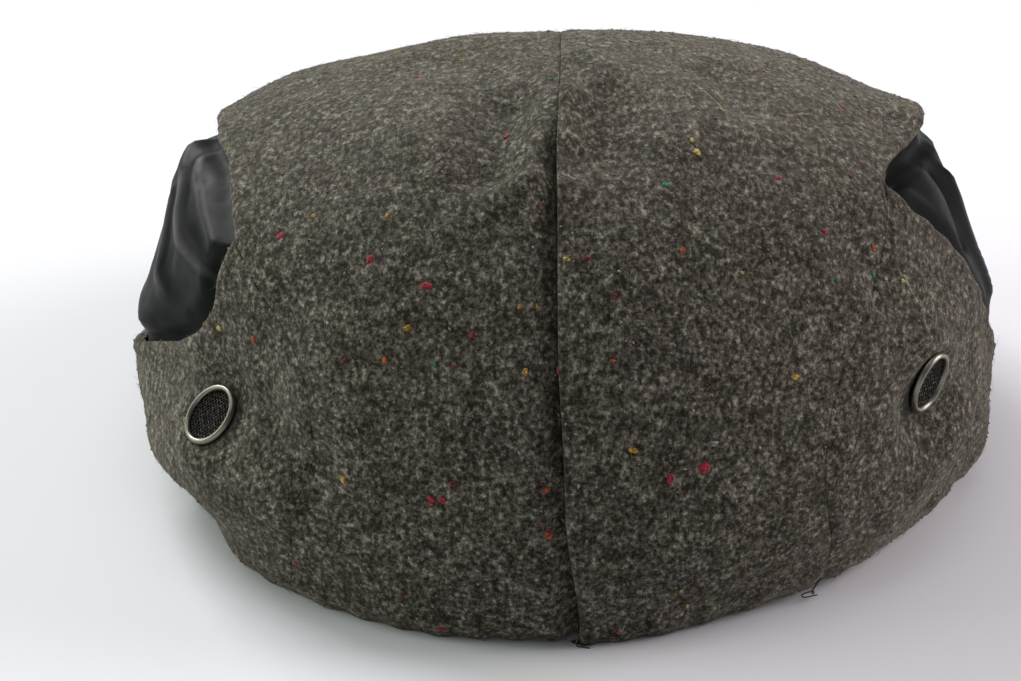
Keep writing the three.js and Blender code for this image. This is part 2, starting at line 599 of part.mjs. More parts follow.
// The eyelet's ring, turned: a domed flange outside, a barrel, and a washer behind the cloth
function eyeletRing() {
  const e = EYELET;
  const profile = [
    [e.boreRadius, e.washerFoot], [e.washerRadius, e.washerFoot], [e.washerRadius, e.washerTop],
    [e.barrelRadius, e.washerTop], [e.barrelRadius, e.flangeSeat], [e.flangeRadius, e.flangeSeat],
    [e.flangeRadius, e.flangeRim], [e.flangeRadius - e.shoulder, e.flangeTop - e.shoulder],
    [(e.flangeRadius + e.boreRadius) / 2, e.flangeTop], [e.boreRadius, e.flangeTop - e.shoulder],
    [e.boreRadius, e.washerFoot],
  ];
  return new THREE.LatheGeometry(profile.map(([r, y]) => new THREE.Vector2(r, y)), e.sides);
}

function eyeletDisc() {
  const { discRadius, discWall, discTop, sides } = EYELET;
  const rim = discTop - DISC_DISH;
  const profile = [
    [0, discTop - discWall], [discRadius, rim - discWall], [discRadius, rim], [0, discTop],
  ];
  return new THREE.LatheGeometry(profile.map(([r, y]) => new THREE.Vector2(r, y)), sides);
}

// Tweed, leather and metal
const finish = (color, roughness, metalness) => (
  new THREE.MeshStandardMaterial({ color, roughness, metalness })
);
const tweed = () => finish(0x5d5a54, 0.95, 0);
const softHide = () => finish(0x17181a, 0.38, 0);
const nickel = () => finish(0x77787b, 0.35, 1);
const wireMesh = () => finish(0x2b2b2c, 0.5, 0.8);

const cap = new THREE.Group();

function addPiece(name, geometry, material) {
  const mesh = new THREE.Mesh(geometry, material);
  mesh.name = name;
  cap.add(mesh);
  return mesh;
}

SIDES.forEach((side, i) => {
  const seat = SEATS[i];
  addPiece(`crown_${side.name}`, crownHalf(side), tweed());
  addPiece(`side_panel_${side.name}`, piercedPanel(side, seat), tweed());
  addPiece(`side_insert_${side.name}`, sideInsert(side), softHide());
  const ring = addPiece(`eyelet_ring_${side.name}`, eyeletRing(), nickel());
  const disc = addPiece(`eyelet_mesh_${side.name}`, eyeletDisc(), wireMesh());
  for (const piece of [ring, disc]) {
    piece.position.copy(seat.centre);
    piece.quaternion.copy(turnTo(seat.axis));
  }
});
addPiece('peak', peak(), tweed());

// The origin lies on the ground under the middle of the cap's box
const bounds = new THREE.Box3().setFromObject(cap, true);
const foot = bounds.getCenter(new THREE.Vector3()).setZ(bounds.min.z);
for (const piece of cap.children) piece.position.sub(foot);

export default cap;
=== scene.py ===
"""A flat cap of flecked tweed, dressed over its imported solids.

The scene is in metres, in the solids' own frame: the hem rests on z = 0, +Y points to the peak and
+X to the wearer's right. Sizes in the classes below are in millimetres, measured from the middle of
the head opening, and CapForm.in_frame turns them to the frame. A place on the cap's form has a sign,
-1 on the left and 1 on the right, an angle from the centre back in degrees, and a rise from 0 at the
hem to 1 at the ridge over the top. A skin is a grid of points, of shape (rows, columns, 3).
"""
import logging
import math
from dataclasses import dataclass
from enum import Enum
from functools import cached_property

import bmesh
import bpy
import numpy as np
from bmesh.types import BMesh, BMFace, BMVert
from bpy.types import Material, NodeSocket, NodeTree, Object
from mathutils import Matrix, Quaternion, Vector, noise


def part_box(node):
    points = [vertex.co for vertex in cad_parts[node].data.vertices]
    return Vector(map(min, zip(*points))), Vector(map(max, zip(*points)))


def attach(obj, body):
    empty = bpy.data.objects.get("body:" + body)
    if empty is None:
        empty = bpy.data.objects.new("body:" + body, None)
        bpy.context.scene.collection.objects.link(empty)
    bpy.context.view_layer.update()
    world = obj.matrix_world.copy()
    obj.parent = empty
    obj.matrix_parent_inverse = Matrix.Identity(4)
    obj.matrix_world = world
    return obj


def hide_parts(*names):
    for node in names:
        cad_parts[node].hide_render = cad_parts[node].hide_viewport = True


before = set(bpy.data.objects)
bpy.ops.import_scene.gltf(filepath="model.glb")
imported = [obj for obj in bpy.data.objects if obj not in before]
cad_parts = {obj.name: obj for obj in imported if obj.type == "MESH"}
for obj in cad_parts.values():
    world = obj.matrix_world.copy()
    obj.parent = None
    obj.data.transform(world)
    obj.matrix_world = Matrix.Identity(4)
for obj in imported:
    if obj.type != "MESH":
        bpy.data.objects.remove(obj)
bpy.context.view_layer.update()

logging.basicConfig(level=logging.INFO, format="%(message)s")
LOG = logging.getLogger("cap")

MM = 0.001
# the last names the mask of the painted highlight on the leather's fold crests
UV_NAME, DYE_NAME, CREST_SHEEN_NAME = "cut", "dye", "wear"

Array = np.ndarray
Draw = np.random.Generator
Stops = tuple[tuple[float, str], ...]
Triple = tuple[float, float, float]


class Side(Enum):
    """The two sides of the cap, as seen by its wearer."""

    LEFT = -1
    RIGHT = 1

    @property
    def word(self) -> str:
        """The side's name, as the nodes spell it."""
        return self.name.lower()


L, R = Side.LEFT, Side.RIGHT


@dataclass(frozen=True)
class Rung:
    """One rung of the cap's form, at one rise."""

    rise: float
    half_width: float
    back: float
    front: float
    z_back: float
    z_side: float
    z_front: float


@dataclass(frozen=True)
class Place:
    """A point on the form: its angle and its rise."""

    angle: float
    rise: float


@dataclass(frozen=True)
class Fold:
    """A fold or dent along a crest from one place to another.

    spread is its reach to each side and lift how far it raises the cloth, or lowers it below zero.
    A curved crest passes through more places on its way.
    """

    side: Side
    start: Place
    end: Place
    spread: float
    lift: float
    way: tuple[Place, ...] = ()

    def crest(self, steps: int) -> tuple[Array, Array]:
        """The crest as even steps from place to place.

        Args:
            steps: how many steps there are from one place to the next.

        Returns:
            The angles and the rises.
        """
        places = [self.start, *self.way, self.end]
        at = np.linspace(0, len(places) - 1, steps * (len(places) - 1) + 1)
        columns = ([place.angle for place in places], [place.rise for place in places])
        return tuple(np.interp(at, range(len(places)), column) for column in columns)


def smooth(value: Array, low: Array | float, high: Array | float) -> Array:
    """A smooth step from 0 to 1.

    Args:
        value: the values to step.
        low: where the step starts.
        high: where it ends.

    Returns:
        The stepped values.
    """
    share = np.clip((value - low) / (high - low), 0, 1)
    return share * share * (3 - 2 * share)


def unit(vectors: Array) -> Array:
    """The vectors of an array's last axis at length one."""
    return vectors / np.maximum(np.linalg.norm(vectors, axis=-1, keepdims=True), 1e-12)


def arc_lengths(points: Array, axis: int) -> Array:
    """How far along its line of points each point lies.

    Args:
        points: a grid of points.
        axis: 0 to go along columns, 1 to go along rows.

    Returns:
        The distances, of shape (rows, columns), from zero.
    """
    steps = np.linalg.norm(np.diff(points, axis=axis), axis=-1)
    start = np.zeros_like(np.take(steps, [0], axis=axis))
    return np.concatenate([start, np.cumsum(steps, axis=axis)], axis=axis)


def bend(share: Array, start: Array, end: Array, leaving: Array, arriving: Array) -> Array:
    """Values on smooth curves.

    Args:
        share: shares of the way.
        start: where the curves start.
        end: where they end.
        leaving: their slopes at the start.
        arriving: their slopes at the end.

    Returns:
        The values.
    """
    rest = 1 - share
    near = (1 + 2 * share) * rest * rest * start + share * rest * rest * leaving
    return near + share * share * (3 - 2 * share) * end - share * share * rest * arriving


def spline(knots: Array, shares: Array, samples: int = 800) -> Array:
    """Points on a smooth curve through knots.

    Args:
        knots: the points that the curve passes through.
        shares: shares of the curve's length, from 0 to 1.
        samples: how finely the curve is measured.

    Returns:
        The points.
    """
    at = np.linspace(0, len(knots) - 1, samples)
    first = np.minimum(at.astype(int), len(knots) - 2)
    before, start, end, beyond = (knots[np.clip(first + k, 0, len(knots) - 1)] for k in (-1, 0, 1, 2))
    curve = bend((at - first)[:, None], start, end, (end - before) / 2, (beyond - start) / 2)
    length = arc_lengths(curve[None], 1)[0]
    wanted = np.asarray(shares) * length[-1]
    return np.stack([np.interp(wanted, length, curve[:, k]) for k in range(curve.shape[1])], axis=-1)


@dataclass(frozen=True)
class PeakSizes:
    """The peak: corners at the temples, root under the crown, outer edge in front."""

    half_width: float = 76
    corner_y: float = 44
    root_y: float = 97
    tip_y: float = 150
    end_angle: float = 84
    corner_top: float = 3.0
    root_top: float = 17
    tip_top: float = 9.5
    camber: float = 1.2
    corner_wall: float = 2.4
    centre_wall: float = 4.0
    aside_limit: float = 0.995

    def top(self, across: Array, along: Array) -> Array:
        """The height of the peak's upper face.

        Args:
            across: the angle from the middle of the peak, in radians.
            along: the share of the way from the root to the outer edge.

        Returns:
            The heights.
        """
        spread = np.cos(across) ** 2
        root = self.corner_top + (self.root_top - self.corner_top) * spread
        edge = self.corner_top + (self.tip_top - self.corner_top) * spread
        return root + (edge - root) * along + 4 * self.camber * along * (1 - along) * spread

    def top_under(self, x: Array, y: Array) -> Array:
        """The height of the peak's upper face under points.

        Args:
            x: their places across the cap.
            y: their places along the cap.

        Returns:
            The heights.
        """
        across = np.arcsin(np.clip(x / self.half_width, -self.aside_limit, self.aside_limit))
        depth = (y - self.corner_y) / np.cos(across)
        along = (depth - (self.root_y - self.corner_y)) / (self.tip_y - self.root_y)
        return self.top(across, np.clip(along, 0, 1))


@dataclass(frozen=True)
class CapForm:
    """The cap's smooth form: rungs from the hem to the ridge, and the hem's lift onto the peak."""

    peak: PeakSizes = PeakSizes()
    seam_gap: float = 0.3
    lift_start: float = 103
    lift_end: float = 111
    seat_fade: float = 0.2
    half_step_angle: float = 0.5
    half_step_rise: float = 0.004
    ridge_limit: float = 0.99
    rungs: tuple[Rung, ...] = (
        Rung(0.00, 82.5, 103, 133, 0, 0, 12),
        Rung(0.14, 88.5, 107, 134, 16, 16, 19),
        Rung(0.28, 88.0, 105, 130, 33, 32, 27),
        Rung(0.43, 83.0, 98, 120, 49, 48, 37),
        Rung(0.58, 73.0, 84, 104, 65, 65, 49),
        Rung(0.73, 54.0, 63, 84, 76, 75.5, 61),
        Rung(0.87, 28.5, 40, 63, 81.5, 81, 70),
        Rung(1.00, 0.0, 15, 42, 83.5, 83, 75),
    )

    def origin(self) -> Array:
        """Where the middle of the head opening lies in the frame, in millimetres."""
        low, high = (np.array(corner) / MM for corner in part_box("peak"))
        return np.array([(low[0] + high[0]) / 2, high[1] - self.peak.tip_y, 0.0])

    def in_frame(self, points: Array) -> Array:
        """Points of the form in the frame, in metres."""
        return (np.asarray(points, float) + self.origin()) * MM

    def _value(self, column: str, rise: Array) -> Array:
        """A column of the rungs at any rise, on a smooth curve.

        Args:
            column: the name of the rungs' field.
            rise: the rises.

        Returns:
            The values there.
        """
        rises = [rung.rise for rung in self.rungs]
        values = [getattr(rung, column) for rung in self.rungs]
        mirrored = -values[-2] if column == "half_width" else values[-2]
        rises = np.array([-rises[1], *rises, 2 - rises[-2]])
        values = np.array([2 * values[0] - values[1], *values, mirrored])
        first = np.clip(np.searchsorted(rises[1:-1], rise, side="left") - 1, 0, len(self.rungs) - 2)
        r0, r1, r2, r3 = (rises[first + step] for step in range(4))
        v0, v1, v2, v3 = (values[first + step] for step in range(4))
        slopes = ((v2 - v0) / (r2 - r0) * (r2 - r1), (v3 - v1) / (r3 - r1) * (r2 - r1))
        return bend((rise - r1) / (r2 - r1), v1, v2, *slopes)

    def point(self, sign: Array, angle: Array, rise: Array) -> Array:
        """Points of the form, whose hem is on the ground behind and on the peak in front.

        Args:
            sign: the places' signs.
            angle: their angles.
            rise: their rises.

        Returns:
            The points, with a last axis of three.
        """
        sign, angle, rise = np.broadcast_arrays(sign, angle, rise)
        c, s = np.cos(np.radians(angle)), np.sin(np.radians(angle))
        behind = c > 0
        x = sign * self._value("half_width", rise) * s
        y = -np.where(behind, self._value("back", rise), self._value("front", rise)) * c
        end = np.where(behind, self._value("z_back", rise), self._value("z_front", rise))
        z = end * c * c + self._value("z_side", rise) * s * s
        hem = self.rungs[0]
        hem_x, hem_y = sign * hem.half_width * s, -np.where(behind, hem.back, hem.front) * c
        lifted = smooth(angle, self.lift_start, self.lift_end)
        lift = lifted * (self.peak.top_under(hem_x, hem_y) + self.seam_gap)
        fade = np.maximum(0, 1 - rise / self.seat_fade) ** 2
        return np.stack([x, y, z + fade * (lift - np.where(behind, 0, hem.z_front * c * c))], axis=-1)

    def normal(self, sign: Array, angle: Array, rise: Array) -> Array:
        """Outward normals of the form.

        Args:
            sign: the places' signs.
            angle: their angles.
            rise: their rises.

        Returns:
            Unit vectors, with a last axis of three.
        """
        da, dr = self.half_step_angle, self.half_step_rise
        angle, rise = np.clip(angle, 2 * da, 180 - 2 * da), np.clip(rise, dr, self.ridge_limit)
        ahead = self.point(sign, angle + da, rise) - self.point(sign, angle - da, rise)
        above = self.point(sign, angle, rise + dr) - self.point(sign, angle, rise - dr)
        return unit(np.cross(ahead, above) * np.asarray(sign, float)[..., None])


@dataclass(frozen=True)
class Chart:
    """A flat chart of the form, in which the centre seam is a straight line over the top."""

    side_run: float = 146
    back_run: float = 145
    front_run: float = 118
    ridge_back: float = 15
    ridge_front: float = 42
    halvings: int = 40
    hem_points: int = 201
    drift_width: float = 45
    drift_stations: tuple[float, ...] = (-160, -125, -95, -60, -15, 40)
    drifts: tuple[float, ...] = (3.5, -1.1, -2.0, -1.6, -0.6, 0)

    def to_chart(self, places: list[Place]) -> Array:
        """Places on the form as chart points.

        Args:
            places: the places.

        Returns:
            The chart points, of shape (places, 2).
        """
        turn = np.radians([place.angle for place in places])
        rise = np.array([place.rise for place in places])
        behind = np.cos(turn) > 0
        run = np.where(behind, self.back_run, self.front_run)
        ridge = np.where(behind, self.ridge_back, self.ridge_front)
        along = -((1 - rise) * run + ridge) * np.cos(turn)
        return np.stack([(1 - rise) * self.side_run * np.sin(turn), along], axis=-1)

    def hem(self, start: float, end: float) -> Array:
        """Chart points along the hem from one angle to another."""
        return self.to_chart([Place(angle, 0) for angle in np.linspace(start, end, self.hem_points)])

    def from_chart(self, points: Array) -> tuple[Array, Array]:
        """Chart points as angles and rises.

        Args:
            points: chart points, with a last axis of two.

        Returns:
            The angles and the rises.
        """
        x, y = points[..., 0], points[..., 1]
        run = np.where(y < 0, self.back_run, self.front_run)
        ridge = np.where(y < 0, self.ridge_back, self.ridge_front)
        low, high = np.zeros_like(x), np.ones_like(x)
        for _ in range(self.halvings):
            rise = (low + high) / 2
            across, along = x / ((1 - rise) * self.side_run), y / ((1 - rise) * run + ridge)
            inside = across**2 + along**2 < 1
            low, high = np.where(inside, rise, low), np.where(inside, high, rise)
        return np.degrees(np.arccos(np.clip(-y / ((1 - low) * run + ridge), -1, 1))), low

    def drift(self, station: Array) -> Array:
        """How far right of the middle the centre seam wanders.

        Args:
            station: stations along the seam, in the chart.

        Returns:
            The drifts.
        """
        stations, drifts = np.array(self.drift_stations), np.array(self.drifts)
        after = np.clip(np.searchsorted(stations, station, side="right"), 1, len(stations) - 1)
        share = smooth(station, stations[after - 1], stations[after])
        return drifts[after - 1] + (drifts[after] - drifts[after - 1]) * share

    def places(self, side: Side, points: Array) -> tuple[Array, Array, Array]:
        """Chart points of one half, moved with the centre seam, as places on the form.

        Args:
            side: the half.
            points: chart points, with a last axis of two.

        Returns:
            The sign, the angle and the rise of each point.
        """
        hold = np.maximum(0, 1 - points[..., 0] / self.drift_width)
        x = side.value * points[..., 0] + hold * self.drift(points[..., 1])
        angle, rise = self.from_chart(np.stack([np.abs(x), points[..., 1]], axis=-1))
        return np.where(x < 0, -1.0, 1.0), angle, rise


TWEED_FOLDS = (
    # under, over and beside the left eyelet
    Fold(L, Place(66, 0.09), Place(34, 0.195), 7, 3.0),
    Fold(L, Place(62, 0.33), Place(42, 0.35), 11, -2.6),
    Fold(L, Place(40, 0.305), Place(33.5, 0.24), 5, -2.4),
    Fold(L, Place(29.5, 0.255), Place(30.5, 0.20), 4.5, -1.8),
    # the hem, drawn in and standing out
    Fold(L, Place(72, 0.04), Place(54, 0.05), 9, -2.6),
    Fold(L, Place(42, 0), Place(18, 0), 15, 1.9),
    Fold(R, Place(48, 0), Place(24, 0), 17, -2.5),
    # behind the left seam
    Fold(L, Place(29, 0.43), Place(25, 0.33), 9, 1.4),
    Fold(L, Place(50, 0.495), Place(45, 0.465), 9, 1.2),
    # round the right eyelet and along the right rim
    Fold(R, Place(60, 0.21), Place(43, 0.12), 9, 1.8),
    Fold(R, Place(60, 0.28), Place(47, 0.26), 8, -1.8),
    Fold(R, Place(64, 0.38), Place(47, 0.40), 9, 1.4),
    Fold(R, Place(64, 0.17), Place(57, 0.07), 5, -2.0),
    Fold(R, Place(72, 0.07), Place(94, 0.07), 6.5, 3.0),
    Fold(R, Place(86, 0.605), Place(100, 0.56), 8, 3.0),
    # beside the right seam
    Fold(R, Place(43, 0.515), Place(44.5, 0.47), 7, -1.6),
    Fold(R, Place(40, 0.435), Place(39.5, 0.40), 8, 1.4),
    # puckers and hollows round the top of the centre seam
    Fold(L, Place(23, 0.86), Place(13, 0.71), 7, -3.4),
    Fold(R, Place(38, 0.965), Place(1, 0.87), 5, 2.0),
    Fold(L, Place(1, 0.868), Place(7.5, 0.68), 5, 2.4),
    Fold(L, Place(6, 0.68), Place(12.5, 0.65), 5, 1.4),
    Fold(L, Place(60, 0.85), Place(24, 0.72), 8, 1.7),
    Fold(R, Place(13, 0.88), Place(9, 0.75), 7, -2.4),
    Fold(R, Place(57, 0.865), Place(25, 0.755), 7, 1.5),
    Fold(R, Place(70, 0.855), Place(51.5, 0.80), 7, -2.2),
    # the sunk left shoulder
    Fold(L, Place(118, 0.78), Place(55, 0.76), 20, -2.2),
    Fold(L, Place(82, 0.90), Place(50, 0.89), 12, -1.8),
)

INSERT_FOLDS = (
    # drapes that run down the left insert and curl in below the corner of the tweed
    Fold(
        L, Place(80, 0.59), Place(56.5, 0.50), 1.5, 0.6,
        (Place(79, 0.565), Place(74, 0.55), Place(67.5, 0.54), Place(62, 0.52)),
    ),
    Fold(
        L, Place(88, 0.56), Place(53.5, 0.46), 2.2, 1.0,
        (Place(82.5, 0.53), Place(76.5, 0.515), Place(73, 0.49), Place(67, 0.47), Place(61.5, 0.465)),
    ),
    Fold(
        L, Place(81, 0.49), Place(60, 0.375), 1.7, 1.0,
        (Place(75, 0.455), Place(72, 0.425), Place(70.5, 0.395), Place(66, 0.38)),
    ),
    Fold(L, Place(65.5, 0.44), Place(53, 0.44), 1.6, 0.5),
    Fold(L, Place(92, 0.44), Place(82, 0.36), 5.5, -2.8),
    Fold(L, Place(78, 0.315), Place(71, 0.285), 4, 0.9),
    Fold(L, Place(86, 0.545), Place(84, 0.505), 4, 1.2),
    Fold(L, Place(96, 0.54), Place(90, 0.25), 4, -1.0),
    # the right insert, drawn in along a crease
    Fold(R, Place(80, 0.55), Place(73.5, 0.45), 2, -1.6, (Place(78, 0.52), Place(75, 0.485))),
    Fold(R, Place(84, 0.51), Place(79, 0.33), 2.4, 1.5, (Place(80, 0.46), Place(78, 0.415))),
    Fold(R, Place(90, 0.60), Place(79, 0.57), 7, -2.2),
    Fold(R, Place(92, 0.54), Place(84, 0.28), 4, -1.2),
)

# Each eyelet's place and the way it faces
EYELETS = {
    L: (Place(48, 0.255), (-0.58, -0.487, 0.653)),
    R: (Place(49.5, 0.31), (0.782, -0.585, -0.213)),
}


@dataclass(frozen=True)
class EyeletSeat:
    """Where an eyelet sits on the folded tweed, its outward axis, and the axis of the cloth round it."""

    centre: Array
    axis: Array
    cloth_axis: Array


@dataclass
class Cloth:
    """The folded outer face of the cap, shared by all panels."""

    form: CapForm = CapForm()
    chart: Chart = Chart()
    crest_steps: int = 4
    pad_radius: float = 7.5
    pad_fade: float = 6
    seat_lean: float = 0.12

    def __post_init__(self) -> None:
        """Works out the eyelets' seats once."""
        self.seats = {side: self._seat(side) for side in Side}

    def lift(self, points: Array, folds: tuple[Fold, ...]) -> Array:
        """How far folds raise the cloth.

        Args:
            points: points of the form, with a last axis of three.
            folds: the folds.

        Returns:
            The lifts.
        """
        total = np.zeros(points.shape[:-1])
        for fold in folds:
            crest = self.form.point(fold.side.value, *fold.crest(self.crest_steps))
            gap = np.full(total.shape, np.inf)
            for start, end in zip(crest[:-1], crest[1:]):
                way = end - start
                along = np.clip((points - start) @ way / (way @ way), 0, 1)
                gap = np.minimum(gap, np.linalg.norm(points - start - along[..., None] * way, axis=-1))
            total += fold.lift * np.exp(-((gap / fold.spread) ** 2))
        return total

    def folded(self, sign: Array, angle: Array, rise: Array) -> Array:
        """Points of the folded cloth, before the eyelets press it flat.

        Args:
            sign: the places' signs.
            angle: their angles.
            rise: their rises.

        Returns:
            The points.
        """
        points = self.form.point(sign, angle, rise)
        lift = self.lift(points, TWEED_FOLDS)
        return points + self.form.normal(sign, angle, rise) * lift[..., None]

    def at(self, side: Side, place: Place) -> Array:
        """The point of the folded cloth at a place on one side."""
        return self.folded(*(np.array(number) for number in (float(side.value), place.angle, place.rise)))

    def _seat(self, side: Side) -> EyeletSeat:
        """The seat of one side's eyelet."""
        place, axis = EYELETS[side][0], np.array(EYELETS[side][1])
        lean = np.array([side.value * self.seat_lean, 0, 0])
        return EyeletSeat(self.at(side, place), unit(axis), unit(axis - lean))

    def seat_distance(self, points: Array) -> Array:
        """How far points lie from the nearest eyelet's centre."""
        return np.min([np.linalg.norm(points - seat.centre, axis=-1) for seat in self.seats.values()], axis=0)

    def pressed(self, points: Array) -> Array:
        """The cloth pressed flat round each eyelet.

        Args:
            points: points of the folded cloth.

        Returns:
            The points, moved onto the eyelets' planes near them.
        """
        for seat in self.seats.values():
            offset = points - seat.centre
            distance = np.linalg.norm(offset, axis=-1)
            hold = 1 - smooth(distance, self.pad_radius, self.pad_radius + self.pad_fade)
            points = points - (hold * (offset @ seat.cloth_axis))[..., None] * seat.cloth_axis
        return points

    def crumple(self, points: Array, size: float, seed: float) -> Array:
        """Soft unevenness of the cloth, between about -1 and 1.

        Args:
            points: the points.
            size: the distance from one swell to the next.
            seed: an offset that gives another pattern.

        Returns:
            The values.
        """
        values = [noise.noise(Vector(place)) for place in (points.reshape(-1, 3) / size + seed).tolist()]
        return np.array(values).reshape(points.shape[:-1])


def flatten(points: Array, rounds: int = 500, step: int = 5, haste: float = 1.3) -> Array:
    """The flat cut of a curved panel, so that a weave keeps its size all over it.

    Args:
        points: the panel's skin.
        rounds: how many times the cut is relaxed.
        step: every how many rows and columns are relaxed, the rest lying between them.
        haste: how much of each pull is taken.

    Returns:
        The flat places, of shape (rows, columns, 2).
    """
    rows, columns = (np.unique(np.append(np.arange(0, n, step), n - 1)) for n in points.shape[:2])
    coarse = points[np.ix_(rows, columns)]
    middle = coarse.shape[1] // 2
    across, along = arc_lengths(coarse, 1), arc_lengths(coarse, 0)
    flat = np.stack(
        [across - across[:, middle : middle + 1], along[:, middle : middle + 1] + 0 * across], axis=-1
    )
    pairs = [
        (np.s_[:, :-1], np.s_[:, 1:]),
        (np.s_[:-1, :], np.s_[1:, :]),
        (np.s_[:-1, :-1], np.s_[1:, 1:]),
        (np.s_[:-1, 1:], np.s_[1:, :-1]),
    ]
    lengths = [np.linalg.norm(coarse[a] - coarse[b], axis=-1) for a, b in pairs]
    for _ in range(rounds):
        move, count = np.zeros_like(flat), np.zeros(flat.shape[:2] + (1,))
        for (a, b), length in zip(pairs, lengths):
            way = flat[b] - flat[a]
            now = np.maximum(np.linalg.norm(way, axis=-1), 1e-9)
            pull = way * ((now - length) / now / 2)[..., None]
            move[a] += pull
            move[b] -= pull
            count[a] += 1
            count[b] += 1
        flat += haste * move / count
    for axis, picked in ((1, columns), (0, rows)):
        every = np.arange(points.shape[axis])
        flat = np.apply_along_axis(lambda line: np.interp(every, picked, line), axis, flat)
    return flat


def linear(colour: str) -> tuple[float, float, float, float]:
    """An sRGB hex colour, such as 5d5a54, as linear red, green, blue and alpha."""
    parts = [int(colour[i : i + 2], 16) / 255 for i in (0, 2, 4)]
    return (*(c / 12.92 if c <= 0.04045 else ((c + 0.055) / 1.055) ** 2.4 for c in parts), 1.0)


def finish_piece(piece: Object, material: Material, slot: str, *nodes: str) -> None:
    """Gives a piece its finish, lets it ride on the cap and stand for its nodes.

    Args:
        piece: the object.
        material: its finish.
        slot: the name of the record's material slot; not used.
        nodes: the CAD nodes that it stands for.
    """
    piece.data.materials.append(material)
    for polygon in piece.data.polygons:
        polygon.use_smooth = True
    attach(piece, "root")
    if nodes:
        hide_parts(*nodes)
    triangles = sum(len(polygon.vertices) - 2 for polygon in piece.data.polygons)
    LOG.info("%s: %d triangles", piece.name, triangles)


def repeat(bm: BMesh, count: int) -> None:
    """Copies all of a bmesh until it holds a number of copies, one after another.

    Args:
        bm: the bmesh, with one copy.
        count: how many it shall hold.
    """
    kinds = (bm.verts, bm.edges, bm.faces)
    sizes = [len(items) for items in kinds]
    made = 1
    while made < count:
        more = min(made, count - made)
        for items in kinds:
            items.ensure_lookup_table()
        parts = [items[: size * more] for items, size in zip(kinds, sizes)]
        bmesh.ops.duplicate(bm, geom=[item for part in parts for item in part])
        made += more


def colour_points(piece: Object, dyes: Array, name: str = DYE_NAME) -> None:
    """Gives each point of a piece its dye.

    Args:
        piece: the object.
        dyes: linear colours, one for each point.
        name: the attribute's name.
    """
    layer = piece.data.color_attributes.new(name, "FLOAT_COLOR", "POINT")
    layer.data.foreach_set("color", dyes.astype(np.float32).ravel())
    piece.data.update()


def start_tube(bm: BMesh, radius: float, sides: int) -> tuple[list[BMVert], list[BMFace]]:
    """Adds a disc, from which a closed tube can be drawn.

    Args:
        bm: the bmesh to add to.
        radius: the tube's radius.
        sides: how many sides its section has.

    Returns:
        The disc's vertices and its face.
    """
    verts = bmesh.ops.create_circle(bm, cap_ends=True, radius=radius, segments=sides)["verts"]
    return verts, list({face for vert in verts for face in vert.link_faces})


def draw_tube(bm: BMesh, ends: list[BMFace], move: Matrix) -> list[BMFace]:
    """Extrudes a tube's end.

    Args:
        bm: the bmesh.
        ends: the end's face.
        move: where the new end goes.

    Returns:
        The new end's face.
    """
    made = bmesh.ops.extrude_face_region(bm, geom=ends)["geom"]
    bmesh.ops.transform(bm, matrix=move, verts=[item for item in made if isinstance(item, BMVert)])
    return [item for item in made if isinstance(item, BMFace)]


def tube(bm: BMesh, path: list[Vector], radius: float, sides: int) -> None:
    """Adds a closed tube along a path.

    Args:
        bm: the bmesh to add to.
        path: the tube's centre line.
        radius: its radius.
        sides: how many sides its section has.
    """
    verts, ends = start_tube(bm, radius, sides)
    way = path[1] - path[0]
    turn = Vector((0, 0, 1)).rotation_difference(way).to_matrix().to_4x4()
    bmesh.ops.transform(bm, matrix=Matrix.Translation(path[0]) @ turn, verts=verts)
    for at, after, beyond in zip(path, path[1:], path[2:] + path[-1:]):
        ahead = (beyond - at) if beyond != after else (after - at)
        turn = way.rotation_difference(ahead).to_matrix().to_4x4()
        way = ahead
        ends = draw_tube(bm, ends, Matrix.Translation(after) @ turn @ Matrix.Translation(-at))


def settle_faces(bm: BMesh) -> None:
    """Puts the faces in the order of their vertices, as some operators leave it to chance.

    Args:
        bm: the bmesh.
    """
    bm.verts.index_update()
    faces = sorted(bm.faces, key=lambda face: sorted(vert.index for vert in face.verts))
    for index, face in enumerate(faces):
        face.index = index
    bm.faces.sort()


def to_object(name: str, bm: BMesh) -> Object:
    """Turns a bmesh into a linked object and frees it.

    Args:
        name: the object's name.
        bm: the bmesh, in metres and in the frame.

    Returns:
        The object.
    """
    mesh = bpy.data.meshes.new(name)
    bm.to_mesh(mesh)
    bm.free()
    piece = bpy.data.objects.new(name, mesh)
    bpy.context.scene.collection.objects.link(piece)
    return piece


